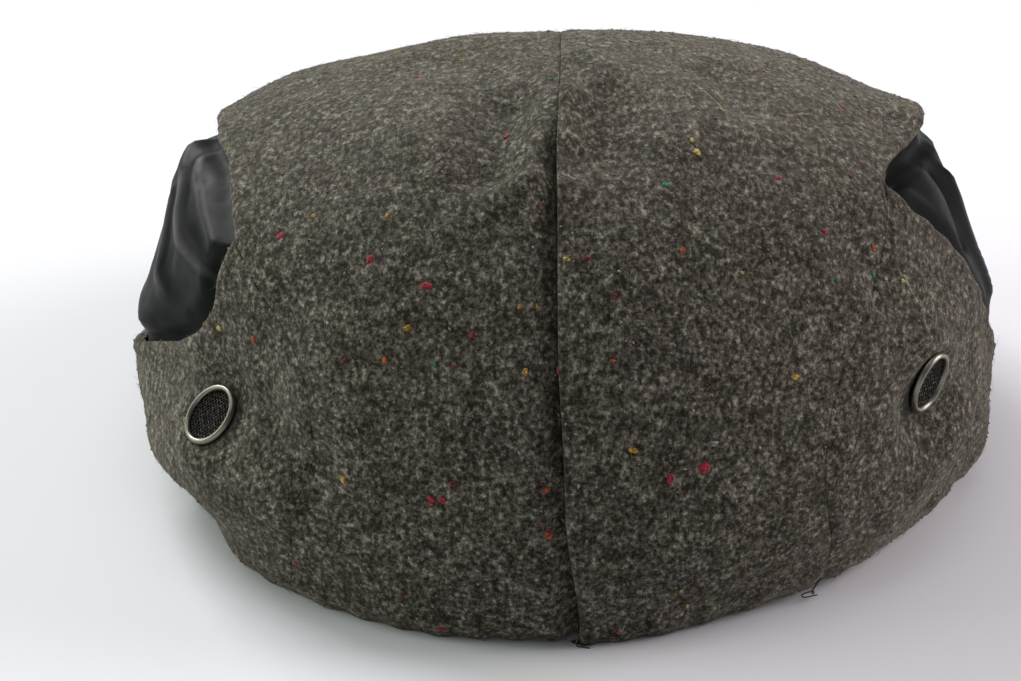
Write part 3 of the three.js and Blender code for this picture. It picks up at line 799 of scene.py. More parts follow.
@dataclass
class Shell:
    """A closed body of cloth between an outer and an inner skin, welded at their rims, and its flat cut."""

    form: CapForm
    outer: Array
    inner: Array
    flat: Array

    def build(self, name: str, hole: tuple[EyeletSeat, float] | None = None) -> Object:
        """Builds the body, with its flat cut as its UV map.

        Args:
            name: the object's name.
            hole: the seat and radius of a hole through both skins.

        Returns:
            The object.
        """
        rows, columns = self.outer.shape[:2]
        bm = bmesh.new()
        tag = bm.verts.layers.int.new("node")
        skins = []
        for places in (self.form.in_frame(self.outer), self.form.in_frame(self.inner)):
            made = bmesh.ops.create_grid(bm, x_segments=columns - 1, y_segments=rows - 1, size=1)["verts"]
            half = max(vert.co.x for vert in made)
            skin = {}
            for vert in made:
                i = round((vert.co.x / half + 1) / 2 * (columns - 1))
                j = round((vert.co.y / half + 1) / 2 * (rows - 1))
                vert[tag] = j * columns + i
                vert.co = places[j, i]
                skin[j, i] = vert
            skins.append(skin)
        rim = [(j, i) for j in range(rows) for i in (0, columns - 1)]
        rim += [(j, i) for i in range(1, columns - 1) for j in (0, rows - 1)]
        bmesh.ops.weld_verts(bm, targetmap={skins[1][at]: skins[0][at] for at in rim})
        if hole is not None:
            self._pierce(bm, *hole)
        bmesh.ops.recalc_face_normals(bm, faces=bm.faces[:])
        piece = to_object(name, bm)
        self._lay_cut(piece)
        return piece

    @cached_property
    def normals(self) -> Array:
        """The outward normals of the outer skin."""
        down, over = np.gradient(self.outer, axis=0), np.gradient(self.outer, axis=1)
        normal = np.cross(over, down)
        return unit(normal * np.sign((normal * (self.outer - self.inner)).sum()))

    def scatter(self, rate: float, draw: Draw) -> tuple[Array, Array]:
        """Random places all over the outer skin.

        Args:
            rate: how many there are on a square millimetre.
            draw: the random draws.

        Returns:
            The places and the skin's normals there.
        """
        along = self.outer[1:, :-1] - self.outer[:-1, :-1]
        across = self.outer[:-1, 1:] - self.outer[:-1, :-1]
        area = np.linalg.norm(np.cross(along, across), axis=-1).ravel()
        count = round(rate * float(area.sum()))
        cells = draw.choice(len(area), count, p=area / area.sum())
        j, i = np.unravel_index(cells, along.shape[:2])
        v, u = draw.random(count)[:, None], draw.random(count)[:, None]
        picked = []
        for grid in (self.outer, self.normals):
            low = grid[j, i] * (1 - u) + grid[j, i + 1] * u
            high = grid[j + 1, i] * (1 - u) + grid[j + 1, i + 1] * u
            picked.append(low * (1 - v) + high * v)
        return picked[0], unit(picked[1])

    def nearest(self, place: Array) -> tuple[float, Array, Array]:
        """The point of the outer skin nearest to a place.

        Args:
            place: the place.

        Returns:
            Its distance, the point and the normal there.
        """
        gaps = np.linalg.norm(self.outer - place, axis=-1)
        at = np.unravel_index(np.argmin(gaps), gaps.shape)
        return float(gaps[at]), self.outer[at], self.normals[at]

    def _pierce(self, bm: BMesh, seat: EyeletSeat, radius: float) -> None:
        """Opens a round hole through both skins and closes its wall.

        Args:
            bm: the body.
            seat: the hole's place and axis.
            radius: its radius.
        """
        centre, axis = Vector(self.form.in_frame(seat.centre)), Vector(seat.axis)
        reach = radius * MM

        def aside(place: Vector) -> Vector:
            """The part of a place's offset from the hole's centre that lies across its axis."""
            offset = place - centre
            return offset - axis * offset.dot(axis)

        near = [vert for vert in bm.verts if (vert.co - centre).length < 3 * reach]
        gone = [vert for vert in near if aside(vert.co).length < reach]
        bmesh.ops.delete(bm, geom=gone, context="VERTS")
        rim = [edge for edge in bm.edges if edge.is_boundary]
        for vert in {vert for edge in rim for vert in edge.verts}:
            offset = aside(vert.co)
            vert.co += offset.normalized() * (reach - offset.length)
        bmesh.ops.bridge_loops(bm, edges=rim)

    def _lay_cut(self, piece: Object) -> None:
        """Writes the flat cut into the piece's UV map, in metres."""
        mesh = piece.data
        nodes = np.zeros(len(mesh.vertices), np.int32)
        mesh.attributes["node"].data.foreach_get("value", nodes)
        mesh.attributes.remove(mesh.attributes["node"])
        corners = np.zeros(len(mesh.loops), np.int32)
        mesh.loops.foreach_get("vertex_index", corners)
        flat = self.flat.reshape(-1, 2)[nodes[corners]] * MM
        mesh.uv_layers.new(name=UV_NAME).data.foreach_set("uv", flat.astype(np.float32).ravel())


@dataclass(frozen=True)
class EdgeShape:
    """How the cloth lies beside an edge: its roll, and the dip, swell and puckers by distance."""

    roll: float
    dip: float = 0.0
    dip_reach: float = 1.0
    swell: float = 0.0
    swell_at: float = 2.0
    swell_reach: float = 2.0
    pucker: float = 0.0

    def height(self, distance: Array) -> Array:
        """How far the cloth stands out, or in below zero, beside the edge."""
        dip = -self.dip * np.exp(-((distance / self.dip_reach) ** 2))
        return dip + self.swell * np.exp(-(((distance - self.swell_at) / self.swell_reach) ** 2))


class Edge(Enum):
    """How an edge of a cloth panel is finished."""

    # the side of the centre seam that dips to the stitches, and the side that lies over the turnings
    SUNK_SEAM = EdgeShape(0.5, dip=2.6, dip_reach=2.3, swell=0.25, swell_at=6.5, swell_reach=3, pucker=0.12)
    RAISED_SEAM = EdgeShape(0.55, swell=0.7, swell_at=1.2, swell_reach=1.9, pucker=0.12)
    # sewn, steamed and pressed open, so it hardly shows
    PRESSED_SEAM = EdgeShape(0.15, dip=0.12, dip_reach=1.4, swell=0.1, swell_at=3, pucker=0.07)
    # folded under, standing free
    FOLD = EdgeShape(1.0, swell=0.6, swell_at=2.6, swell_reach=2.4, pucker=0.2)
    # turned up inside
    HEM = EdgeShape(1.1, dip=0.9, dip_reach=2.4, swell=0.5, swell_at=4.6, swell_reach=1.7, pucker=0.25)


# For each edge of a panel by name, its finishes and how much each one holds along it
Finishes = dict[str, list[tuple[Array | float, Edge]]]


def rolled(distance: Array, radius: Array | float) -> Array:
    """How far round its edge a skin has rolled: 1 at the edge, 0 on the flat.

    Args:
        distance: distances from the edge.
        radius: the roll's radius.

    Returns:
        The shares.
    """
    share = np.clip(1 - distance / np.maximum(radius, 1e-6), 0, 1)
    return 1 - np.sqrt(1 - share**2)


def edge_ways(skin: Array) -> tuple[dict[str, Array], dict[str, Array]]:
    """How far each point of a skin lies from each edge, and along it.

    Args:
        skin: the skin.

    Returns:
        The distances from the edges and those along them, by the edges' names.
    """
    row, column = arc_lengths(skin, 1), arc_lengths(skin, 0)
    reach = {"first": row, "last": row[:, -1:] - row, "bottom": column, "top": column[-1:] - column}
    return reach, {"first": column, "last": column, "bottom": row, "top": row}


@dataclass
class Panel:
    """A tweed panel over four edges of chart points."""

    cloth: Cloth
    side: Side
    wall: float = 2.0
    hem_wall: float = 2.8
    hem_turn: float = 10.0
    seam_gap: float = 0.04
    edge_steps: tuple[float, ...] = (0, 0.1, 0.28, 0.55, 0.9, 1.4, 2.1, 3.0, 4.2)
    relief: float = 0.45
    relief_size: float = 17
    fine_relief: float = 0.14
    fine_size: float = 5.5
    fine_seed: float = 31
    quiet_reach: float = 3
    pucker_pitch: float = 8.5
    pucker_reach: float = 4.5
    pucker_drift: float = 3
    pucker_drift_size: float = 19

    def spaced(self, width: float, count: int) -> Array:
        """Distances across a width, close together near both edges.

        Args:
            width: the width.
            count: how many steps lie between the close ones.

        Returns:
            The distances, from half a seam's gap inside each edge.
        """
        width = width - self.seam_gap
        near = np.array(self.edge_steps) * min(1.0, width / (3 * self.edge_steps[-1]))
        middle = np.linspace(near[-1], width - near[-1], count + 1)[1:-1]
        return np.concatenate([near, middle, width - near[::-1]]) + self.seam_gap / 2

    def fill(
        self, edges: tuple[Array, Array], ends: tuple[Array, Array], along: Array, columns: int
    ) -> Array:
        """A grid of chart points that fills four edges, its columns spaced by the cloth's length.

        Args:
            edges: the first and last point of each row.
            ends: the bottom and the top edge, as points at even shares.
            along: each row's share of the way from the bottom to the top.
            columns: how many columns lie between the close ones at the edges.

        Returns:
            The chart points, of shape (rows, columns, 2).
        """
        (first, last), (bottom, top) = edges, ends
        even = np.linspace(0, 1, len(bottom))

        def row(j: int, share: Array) -> Array:
            """The chart points of one row at shares of its way across."""
            u, v = share[:, None], along[j]
            low, high = (
                np.stack([np.interp(share, even, end[:, k]) for k in range(2)], axis=-1) for end in ends
            )
            corners = (bottom[0] * (1 - u) + bottom[-1] * u) * (1 - v) + (top[0] * (1 - u) + top[-1] * u) * v
            return first[j] * (1 - u) + last[j] * u + low * (1 - v) + high * v - corners

        rows = []
        for j in range(len(first)):
            line = self.cloth.form.point(*self.cloth.chart.places(self.side, row(j, even)))
            length = arc_lengths(line[None], 1)[0]
            rows.append(row(j, np.interp(self.spaced(length[-1], columns), length, even)))
        return np.stack(rows)

    def shell(self, grid: Array, beside: Finishes, seed: float) -> Shell:
        """The panel's two skins over its chart points.

        Args:
            grid: the chart points.
            beside: the finishes of its edges.
            seed: an offset for the cloth's unevenness.

        Returns:
            The shell.
        """
        places = self.cloth.chart.places(self.side, grid)
        normal, base = self.cloth.form.normal(*places), self.cloth.folded(*places)
        reach, run = edge_ways(base)
        drop, closed, height, turned = (np.zeros(base.shape[:2]) for _ in range(4))
        quiet = np.ones(base.shape[:2])
        for name, finishes in beside.items():
            distance = reach[name]
            drift = self.pucker_drift * np.sin(run[name] / self.pucker_drift_size + seed)
            wave = np.sin(2 * math.pi * run[name] / self.pucker_pitch + drift)
            roll = np.zeros(base.shape[:2])
            for hold, edge in finishes:
                shape = edge.value
                roll += hold * shape.roll
                height += hold * shape.height(distance)
                height += hold * shape.pucker * wave * np.exp(-((distance / self.pucker_reach) ** 2))
                if edge is Edge.HEM:
                    turned = np.maximum(turned, 1 - smooth(distance, self.hem_turn - 1, self.hem_turn))
            drop = np.maximum(drop, roll * rolled(distance, roll))
            closed = 1 - (1 - closed) * (1 - rolled(distance, self.wall / 2))
            quiet = np.minimum(quiet, smooth(distance, 0, self.quiet_reach))
        relief = self.relief * self.cloth.crumple(base, self.relief_size, seed)
        relief += self.fine_relief * self.cloth.crumple(base, self.fine_size, seed + self.fine_seed)
        surface = self.cloth.pressed(base + normal * (height + relief * quiet)[..., None])
        wall = self.wall + turned * (self.hem_wall - self.wall)
        inner = surface - normal * (wall - closed * (wall - drop))[..., None]
        return Shell(self.cloth.form, surface - normal * drop[..., None], inner, flatten(base))


SIDE_SEAM = {
    L: [
        Place(36, 0), Place(33.5, 0.11), Place(31.5, 0.22), Place(31, 0.31), Place(33.5, 0.385),
        Place(42, 0.465), Place(51.5, 0.52),
    ],
    R: [
        Place(36, 0), Place(33, 0.11), Place(30.5, 0.21), Place(31.5, 0.315), Place(36, 0.41),
        Place(45, 0.49), Place(57.5, 0.60),
    ],
}
WEDGE_TOP = {
    L: [
        Place(51.5, 0.52), Place(57, 0.555), Place(68, 0.60), Place(80, 0.60), Place(92.5, 0.585),
        Place(107, 0.51), Place(120, 0.38), Place(129, 0.22), Place(133, 0.075),
    ],
    R: [
        Place(57.5, 0.60), Place(63, 0.615), Place(70.5, 0.615), Place(81, 0.60), Place(94, 0.575),
        Place(107, 0.50), Place(120, 0.38), Place(129, 0.22), Place(133, 0.075),
    ],
}
WEDGE_FOOT = {
    L: [
        Place(51.5, 0.52), Place(52, 0.46), Place(53, 0.41), Place(57, 0.36), Place(64.5, 0.305),
        Place(79, 0.225), Place(95, 0.165), Place(113, 0.105), Place(133, 0.06),
    ],
    R: [
        Place(57.5, 0.60), Place(58.5, 0.555), Place(63, 0.505), Place(67, 0.45), Place(70.5, 0.36),
        Place(78, 0.245), Place(92, 0.175), Place(113, 0.105), Place(133, 0.06),
    ],
}
HEM_CORNER = 36.0
TIP_ANGLE = 133.0


@dataclass
class CrownHalf(Panel):
    """Half of the crown, from the back hem over the top to the front edge on the peak."""

    apex_station: float = -62
    tip_station: float = 122
    flat_over_top: float = 0.92
    seam_run: float = 100
    seam_rows: int = 62
    wedge_rows: int = 120
    tip_rows: int = 12
    tip_even: float = 0.6
    tip_spacing: float = 6
    columns: int = 62
    seam_end_rows: int = 6
    tip_start_rows: int = 4
    flat_rows: tuple[int, int] = (2, 14)
    seed: float = 7.0

    def build(self, material: Material) -> Shell:
        """Builds the half and dresses it.

        Args:
            material: the tweed.

        Returns:
            Its body.
        """
        chart = self.cloth.chart
        steps = np.array(self.edge_steps) / self.seam_run
        seam_shares = np.concatenate([steps[:-1], np.linspace(steps[-1], 1, self.seam_rows)])
        wedge_shares = np.linspace(0, 1, self.wedge_rows + 1)[1:]
        tip_shares = np.concatenate(
            [np.linspace(0, self.tip_even, self.tip_rows)[1:], 1 - steps[-2::-1] * self.tip_spacing]
        )
        back, front, corner = chart.to_chart([Place(0, 0), Place(180, 0), Place(TIP_ANGLE, 0)])
        stations = [back, np.array([0, self.apex_station]), np.array([0, self.tip_station]), front]
        parts = zip(stations[:-1], stations[1:], (seam_shares, wedge_shares, tip_shares))
        first = np.concatenate([start + (end - start) * shares[:, None] for start, end, shares in parts])
        seam = spline(chart.to_chart(SIDE_SEAM[self.side]), seam_shares)
        wedge = spline(chart.to_chart(WEDGE_TOP[self.side]), wedge_shares)
        last = np.concatenate([seam, wedge, wedge[-1] + (corner - wedge[-1]) * tip_shares[:, None]])
        along = (first[:, 1] - back[1]) / (front[1] - back[1])
        ends = (chart.hem(0, HEM_CORNER), chart.hem(180, TIP_ANGLE))
        grid = self.fill((first, last), ends, along, self.columns)
        rows = np.arange(len(along))[:, None]
        apex, tip = len(seam_shares), len(seam_shares) + len(wedge_shares)
        sewn = 1 - smooth(rows, apex - self.seam_end_rows, apex)
        sewn = sewn + smooth(rows, tip, tip + self.tip_start_rows)
        centre = Edge.RAISED_SEAM if self.side is Side.RIGHT else Edge.SUNK_SEAM
        flat = self.flat_over_top * smooth(rows, *(apex + step for step in self.flat_rows))
        beside = {
            "first": [(1 - flat, centre), (flat, Edge.PRESSED_SEAM)],
            "last": [(sewn, Edge.PRESSED_SEAM), (1 - sewn, Edge.FOLD)],
            "bottom": [(1.0, Edge.HEM)],
            "top": [(1.0, Edge.FOLD)],
        }
        body = self.shell(grid, beside, self.seed * self.side.value)
        piece = body.build(f"tweed_crown_{self.side.word}")
        finish_piece(piece, material, "tweed", f"crown_{self.side.word}")
        return body


@dataclass
class SidePanel(Panel):
    """A side panel, from the side-back seam forward under the insert to the peak's end."""

    rows: int = 44
    columns: int = 128
    seam_run: float = 60
    hole_radius: float = 5.3
    seed: float = 13.0
    seed_step: float = 5

    def build(self, material: Material) -> Shell:
        """Builds the panel and dresses it.

        Args:
            material: the tweed.

        Returns:
            Its body.
        """
        chart = self.cloth.chart
        near = np.array(self.edge_steps) / self.seam_run
        shares = np.concatenate([near, np.linspace(near[-1], 1 - near[-1], self.rows)[1:-1], 1 - near[::-1]])
        first = spline(chart.to_chart(SIDE_SEAM[self.side]), shares)
        top = spline(chart.to_chart(WEDGE_FOOT[self.side]), np.linspace(0, 1, chart.hem_points))
        corner = chart.to_chart([Place(TIP_ANGLE, 0)])[0]
        last = corner + (top[-1] - corner) * shares[:, None]
        grid = self.fill((first, last), (chart.hem(HEM_CORNER, TIP_ANGLE), top), shares, self.columns)
        edges = {"first": Edge.PRESSED_SEAM, "last": Edge.PRESSED_SEAM, "bottom": Edge.HEM, "top": Edge.FOLD}
        beside = {name: [(1.0, edge)] for name, edge in edges.items()}
        body = self.shell(grid, beside, self.seed + self.seed_step * self.side.value)
        hole = (self.cloth.seats[self.side], self.hole_radius)
        piece = body.build(f"tweed_side_{self.side.word}", hole)
        finish_piece(piece, material, "tweed", f"side_panel_{self.side.word}")
        return body


@dataclass
class SideInsert:
    """The soft dark wedge, tucked under both tweed edges and swelling up between them."""

    cloth: Cloth
    side: Side
    wall: float = 1.2
    tuck: float = 4
    tuck_steps: int = 5
    setback: float = 2.35
    swell: float = 2.3
    flat_edge: float = 1
    shoulder: float = 6.5
    relief: float = 0.5
    relief_size: float = 14
    relief_seed: float = 3.0
    columns: int = 130
    crowding: float = 1.4
    rows: int = 40
    edge_samples: int = 161
    # where the painted highlight runs along the drapes' crests: its steps, width, span and fade
    wear_steps: int = 14
    wear_width: float = 1.05
    wear_span: tuple[float, float] = (0.06, 0.97)
    wear_fade: float = 0.6

    def _tucked(self, places: list[Place], outwards: float) -> Array:
        """An edge of the wedge, moved out under the tweed and run on past the wedge's tip.

        Args:
            places: the edge's places.
            outwards: 1 or -1, the way out.

        Returns:
            The chart points.
        """
        shares = np.linspace(0, 1, self.columns) ** self.crowding
        at = spline(self.cloth.chart.to_chart(places), shares)
        tangent = unit(np.gradient(at, axis=0))
        moved = at + np.stack([tangent[:, 1], -tangent[:, 0]], axis=-1) * outwards * self.tuck
        past = moved[-1] + tangent[-1] * np.linspace(0, self.tuck, self.tuck_steps)[1:, None]
        return np.concatenate([moved, past])

    def build(self, material: Material) -> None:
        """Builds the insert and dresses it.

        Args:
            material: the soft leather.
        """
        cloth, form, chart = self.cloth, self.cloth.form, self.cloth.chart
        foot, head = self._tucked(WEDGE_FOOT[self.side], 1), self._tucked(WEDGE_TOP[self.side], -1)
        share = np.linspace(0, 1, self.rows)[:, None]
        grid = foot[None] + (head - foot)[None] * share[..., None]
        even = np.linspace(0, 1, self.edge_samples)
        edge = np.concatenate(
            [spline(chart.to_chart(places[self.side]), even) for places in (WEDGE_FOOT, WEDGE_TOP)]
        )
        inside = np.min(np.linalg.norm(grid[:, :, None] - edge[None, None], axis=-1), axis=-1)
        covered = np.minimum(share, 1 - share) * np.linalg.norm(head - foot, axis=-1)[None] < self.tuck
        inside = np.where(covered, 0, inside)
        angle, rise = chart.from_chart(grid)
        places = (np.full(angle.shape, float(self.side.value)), angle, rise)
        normal, base = form.normal(*places), cloth.pressed(cloth.folded(*places))
        free = smooth(inside, 0, self.tuck)
        height = self.swell * smooth(inside, self.flat_edge, self.shoulder) - self.setback
        height += cloth.lift(base, INSERT_FOLDS) * free
        height += self.relief * cloth.crumple(base, self.relief_size, self.relief_seed) * free
        middle = base + normal * height[..., None]
        drop = np.zeros(height.shape)
        drop[[0, -1], :] = drop[:, [0, -1]] = self.wall / 2
        outer, inner = middle - normal * drop[..., None], middle - normal * (self.wall - drop)[..., None]
        piece = Shell(form, outer, inner, flatten(base)).build(f"leather_insert_{self.side.word}")
        self._wear(piece, base, outer)
        finish_piece(piece, material, "insert", f"side_insert_{self.side.word}")

    def _wear(self, piece: Object, base: Array, outer: Array) -> None:
        """Marks the crests of the drapes, where the leather gets a painted lilac-grey highlight and a little
        more gloss.

        Args:
            piece: the insert.
            base: its skin on the folded form.
            outer: its outer skin.
        """
        form = self.cloth.form
        points = np.zeros(len(piece.data.vertices) * 3, np.float32)
        piece.data.vertices.foreach_get("co", points)
        points = points.reshape(-1, 3) / MM - form.origin()
        crest_sheen = np.zeros(len(points))
        for fold in (fold for fold in INSERT_FOLDS if fold.side is self.side and fold.way):
            crest = form.point(self.side.value, *fold.crest(self.wear_steps))
            away = np.linalg.norm(base[None] - crest[:, None, None], axis=-1).reshape(len(crest), -1)
            line = crest + (outer - base).reshape(-1, 3)[away.argmin(axis=1)]
            gaps = np.linalg.norm(points[:, None] - line[None], axis=-1)
            fade = np.sin(np.pi * np.linspace(*self.wear_span, len(line))) ** self.wear_fade
            crest_sheen = np.maximum(crest_sheen, (fade * np.exp(-((gaps / self.wear_width) ** 2))).max(axis=1))
        # the mask of the painted highlight on the crests
        colour_points(piece, np.repeat(crest_sheen[:, None], 4, axis=1), CREST_SHEEN_NAME)


@dataclass
class Peak:
    """The covered peak: an arched crescent with a rounded outer edge."""

    form: CapForm
    columns: int = 110
    end_columns: int = 12
    end_share: float = 0.04
    rows: int = 26
    edge_steps: tuple[float, ...] = (0, 0.06, 0.2, 0.45, 0.8, 1.2, 1.6, 2.2, 3.2)

    def build(self, material: Material) -> Shell:
        """Builds the peak and dresses it.

        Args:
            material: the tweed.

        Returns:
            Its body.
        """
        sizes, edge = self.form.peak, self.end_share
        length = sizes.tip_y - sizes.root_y
        near = np.array(self.edge_steps) / length
        along = np.concatenate([near, np.linspace(near[-1], 1 - near[-1], self.rows)[1:-1], 1 - near[::-1]])
        ends = 1 - np.cos(np.linspace(0, math.pi / 2, self.end_columns))
        share = np.concatenate(
            [ends * edge, np.linspace(edge, 1 - edge, self.columns)[1:-1], 1 - ends[::-1] * edge]
        )
        across = np.radians((share * 2 - 1) * sizes.end_angle)[None]
        reach = sizes.root_y + length * along[:, None] - sizes.corner_y
        x = sizes.half_width * np.sin(across) + 0 * reach
        y, top = sizes.corner_y + reach * np.cos(across), sizes.top(across, along[:, None])
        surface = np.stack([x, y, top], axis=-1)
        wall = sizes.corner_wall + (sizes.centre_wall - sizes.corner_wall) * np.cos(across) ** 2 + 0 * reach
        closed = np.zeros(wall.shape)
        for distance in edge_ways(surface)[0].values():
            closed = 1 - (1 - closed) * (1 - rolled(distance, wall / 2))
        drop = (closed * wall / 2)[..., None] * np.array([0, 0, 1.0])
        foot = wall[..., None] * np.array([0, 0, 1.0]) - drop
        body = Shell(self.form, surface - drop, surface - foot, flatten(surface))
        finish_piece(body.build("tweed_peak"), material, "tweed", "peak")
        return body


@dataclass
class Eyelet:
    """An air eyelet: a domed ring on a barrel, a washer behind the cloth, and woven wire across it."""

    cloth: Cloth
    side: Side
    segments: int = 96
    dome_steps: int = 13
    bore: float = 4.85
    barrel: float = 5.1
    flange: float = 6.05
    flange_seat: float = 0.15
    flange_edge: float = 0.25
    flange_top: float = 1.3
    flange_bevel: float = 0.1
    washer: float = 6.0
    washer_top: float = -2.6
    washer_foot: float = -3.1
    washer_bevel: float = 0.2
    disc_radius: float = 4.8
    wire_pitch: float = 0.64
    wire_radius: float = 0.14
    wire_height: float = 0.3
    wire_wave: float = 0.95
    wire_sides: int = 5
    points_per_pitch: int = 3

    def _place(self, name: str, bm: BMesh, material: Material, slot: str) -> None:
        """Sets a part of the eyelet in the cloth and dresses it.

        Args:
            name: the object's name, without its side.
            bm: the part, in millimetres on the eyelet's own axes.
            material: its finish.
            slot: the name by which its CAD node is called, without its side; also passed on as a slot name
                that is not used.
        """
        seat = self.cloth.seats[self.side]
        turn = Vector((0, 0, 1)).rotation_difference(Vector(seat.axis)).to_matrix().to_4x4()
        place = Matrix.Translation(Vector(self.cloth.form.in_frame(seat.centre)))
        bmesh.ops.recalc_face_normals(bm, faces=bm.faces[:])
        bmesh.ops.transform(bm, matrix=place @ turn @ Matrix.Scale(MM, 4), verts=bm.verts[:])
        settle_faces(bm)
        piece = to_object(f"{name}_{self.side.word}", bm)
        finish_piece(piece, material, slot, f"{slot}_{self.side.word}")

    def ring(self, material: Material) -> None:
        """Spins the ring from its profile.

        Args:
            material: the nickel plate.
        """
        middle, half = (self.flange + self.bore) / 2, (self.flange - self.bore) / 2
        edge = self.flange_seat + self.flange_edge
        dome = [
            (middle + half * math.cos(turn), edge + (self.flange_top - edge) * math.sin(turn))
            for turn in np.linspace(0, math.pi, self.dome_steps)
        ]
        profile = [
            (self.bore, self.washer_foot), (self.washer - self.washer_bevel, self.washer_foot),
            (self.washer, self.washer_foot + self.washer_bevel), (self.washer, self.washer_top),
            (self.barrel, self.washer_top), (self.barrel, self.flange_seat),
            (self.flange - self.flange_bevel, self.flange_seat), *dome,
        ]
        bm = bmesh.new()
        verts = [bm.verts.new((radius, 0, height)) for radius, height in profile]
        edges = [bm.edges.new(pair) for pair in zip(verts, verts[1:] + verts[:1])]
        bmesh.ops.spin(
            bm, geom=verts + edges, cent=(0, 0, 0), axis=(0, 0, 1), angle=2 * math.pi,
            steps=self.segments, use_merge=True,
        )
        bmesh.ops.remove_doubles(bm, verts=bm.verts[:], dist=1e-4)
        self._place("nickel_ring", bm, material, "eyelet_ring")

    def wires(self, material: Material) -> None:
        """Weaves the wire disc, each wire passing over and under the others.

        Args:
            material: the blackened wire.
        """
        whole = bmesh.new()
        count = int(self.disc_radius / self.wire_pitch)
        for turned in (False, True):
            for order in range(-count, count + 1):
                self._wire(whole, turned, order)
        self._place("wire_mesh", whole, material, "eyelet_mesh")

    def _wire(self, whole: BMesh, turned: bool, order: int) -> None:
        """Adds one wire of the disc, unless it would be too short to weave.

        Args:
            whole: the disc so far.
            turned: whether it runs the other way.
            order: its number, from the middle, which tells where it lies and where it passes over.
        """
        pitch, offset = self.wire_pitch, order * self.wire_pitch
        reach = math.sqrt(max(self.disc_radius**2 - offset**2, 0))
        if reach <= pitch:
            return
        steps = max(4, round(2 * reach / pitch * self.points_per_pitch))
        path = []
        for x in np.linspace(-reach, reach, steps + 1).tolist():
            wave = math.cos(math.pi * (x / pitch + (order + turned)))
            height = self.wire_height + wave * self.wire_radius * self.wire_wave
            path.append(Vector((-offset, x, height) if turned else (x, offset, height)))
        bm, mesh = bmesh.new(), bpy.data.meshes.new("wire")
        tube(bm, path, self.wire_radius, self.wire_sides)
        bm.to_mesh(mesh)
        bm.free()
        whole.from_mesh(mesh)
        bpy.data.meshes.remove(mesh)


@dataclass
class Fibres:
    """Short loose wool fibres that stand off a surface, each a thin closed three-sided body."""

    form: CapForm
    sides: int = 3
    rings: int = 3
    radius: float = 0.032
    tip_share: float = 0.45
    sink: float = 0.06
    rise: tuple[float, float] = (0.12, 0.75)
    curl: tuple[float, float] = (-1.3, 1.3)
    droop: tuple[float, float] = (0.4, 1.6)
    sort_lead: float = 0.1

    def build(
        self, name: str, roots: Array, normals: Array, lengths: Array, dyes: Array, draw: Draw
    ) -> Object:
        """Builds the fibres, each curling over from its root.

        Args:
            name: the object's name.
            roots: where they leave the cloth.
            normals: the cloth's outward normals there.
            lengths: their lengths.
            dyes: their linear colours.
            draw: the random draws.

        Returns:
            The object.
        """
        count, steps = len(roots), self.rings - 1
        across = unit(np.cross(normals, draw.normal(size=(count, 3))))
        sideways = np.cross(normals, across)
        rise, curl, droop = (draw.uniform(*span, count) for span in (self.rise, self.curl, self.droop))
        centres = [roots - normals * self.sink]
        for ring in range(1, self.rings):
            turn, slope = curl * (ring / steps), rise * (1 - droop * (ring / steps))
            way = across * np.cos(turn)[:, None] + sideways * np.sin(turn)[:, None]
            way = unit(way + normals * slope[:, None])
            centres.append(centres[-1] + way * (lengths / steps)[:, None])
        centres = np.stack(centres, axis=1)
        centres[..., 2] = np.maximum(centres[..., 2], self.radius)
        ahead = unit(centres[:, -1] - centres[:, 0])
        first = unit(np.cross(ahead, normals))
        second = np.cross(ahead, first)
        angles = (np.arange(self.sides) * 2 * math.pi / self.sides)[:, None]
        spokes = first[:, None] * np.cos(angles) + second[:, None] * np.sin(angles)
        taper = np.linspace(1, self.tip_share, self.rings)[:, None, None]
        places = centres[:, :, None] + spokes[:, None] * taper * self.radius
        piece = to_object(name, self._blanks(count))
        piece.data.vertices.foreach_set("co", self.form.in_frame(places).astype(np.float32).ravel())
        colour_points(piece, np.repeat(dyes, self.sides * self.rings, axis=0))
        return piece

    def _blanks(self, count: int) -> BMesh:
        """Copies of one straight fibre.

        Args:
            count: how many.

        Returns:
            The bmesh, whose vertices go fibre by fibre, ring by ring.
        """
        bm, turn = bmesh.new(), 2 * math.pi
        ends = start_tube(bm, 1, self.sides)[1]
        bmesh.ops.reverse_faces(bm, faces=ends)
        for _ in range(self.rings - 1):
            ends = draw_tube(bm, ends, Matrix.Translation((0, 0, 1)))
        bmesh.ops.recalc_face_normals(bm, faces=bm.faces[:])

        def order(vert: BMVert) -> float:
            """Where a vertex comes in its fibre, the one at angle zero first in its ring."""
            return round(vert.co.z) * turn + (math.atan2(vert.co.y, vert.co.x) + self.sort_lead) % turn

        bm.verts.sort(key=order)
        settle_faces(bm)
        repeat(bm, count)
        return bm


class Wool(Enum):
    """The colours of the wool in the cloth, as dyed."""

    CRIMSON = "a62a3c"
    RUST = "a8522e"
    MUSTARD = "bc9640"
    YELLOW = "cdb96c"
    TEAL = "2f8474"
    WINE = "722630"
    CREAM = "959289"
    FOG = "716e66"
    EARTH = "5a554c"
    PEAT = "302e2a"


@dataclass(frozen=True)
class Nep:
    """A small knot of dyed wool, and how long it is."""

    side: Side
    place: Place
    wool: Wool
    length: float = 1.5


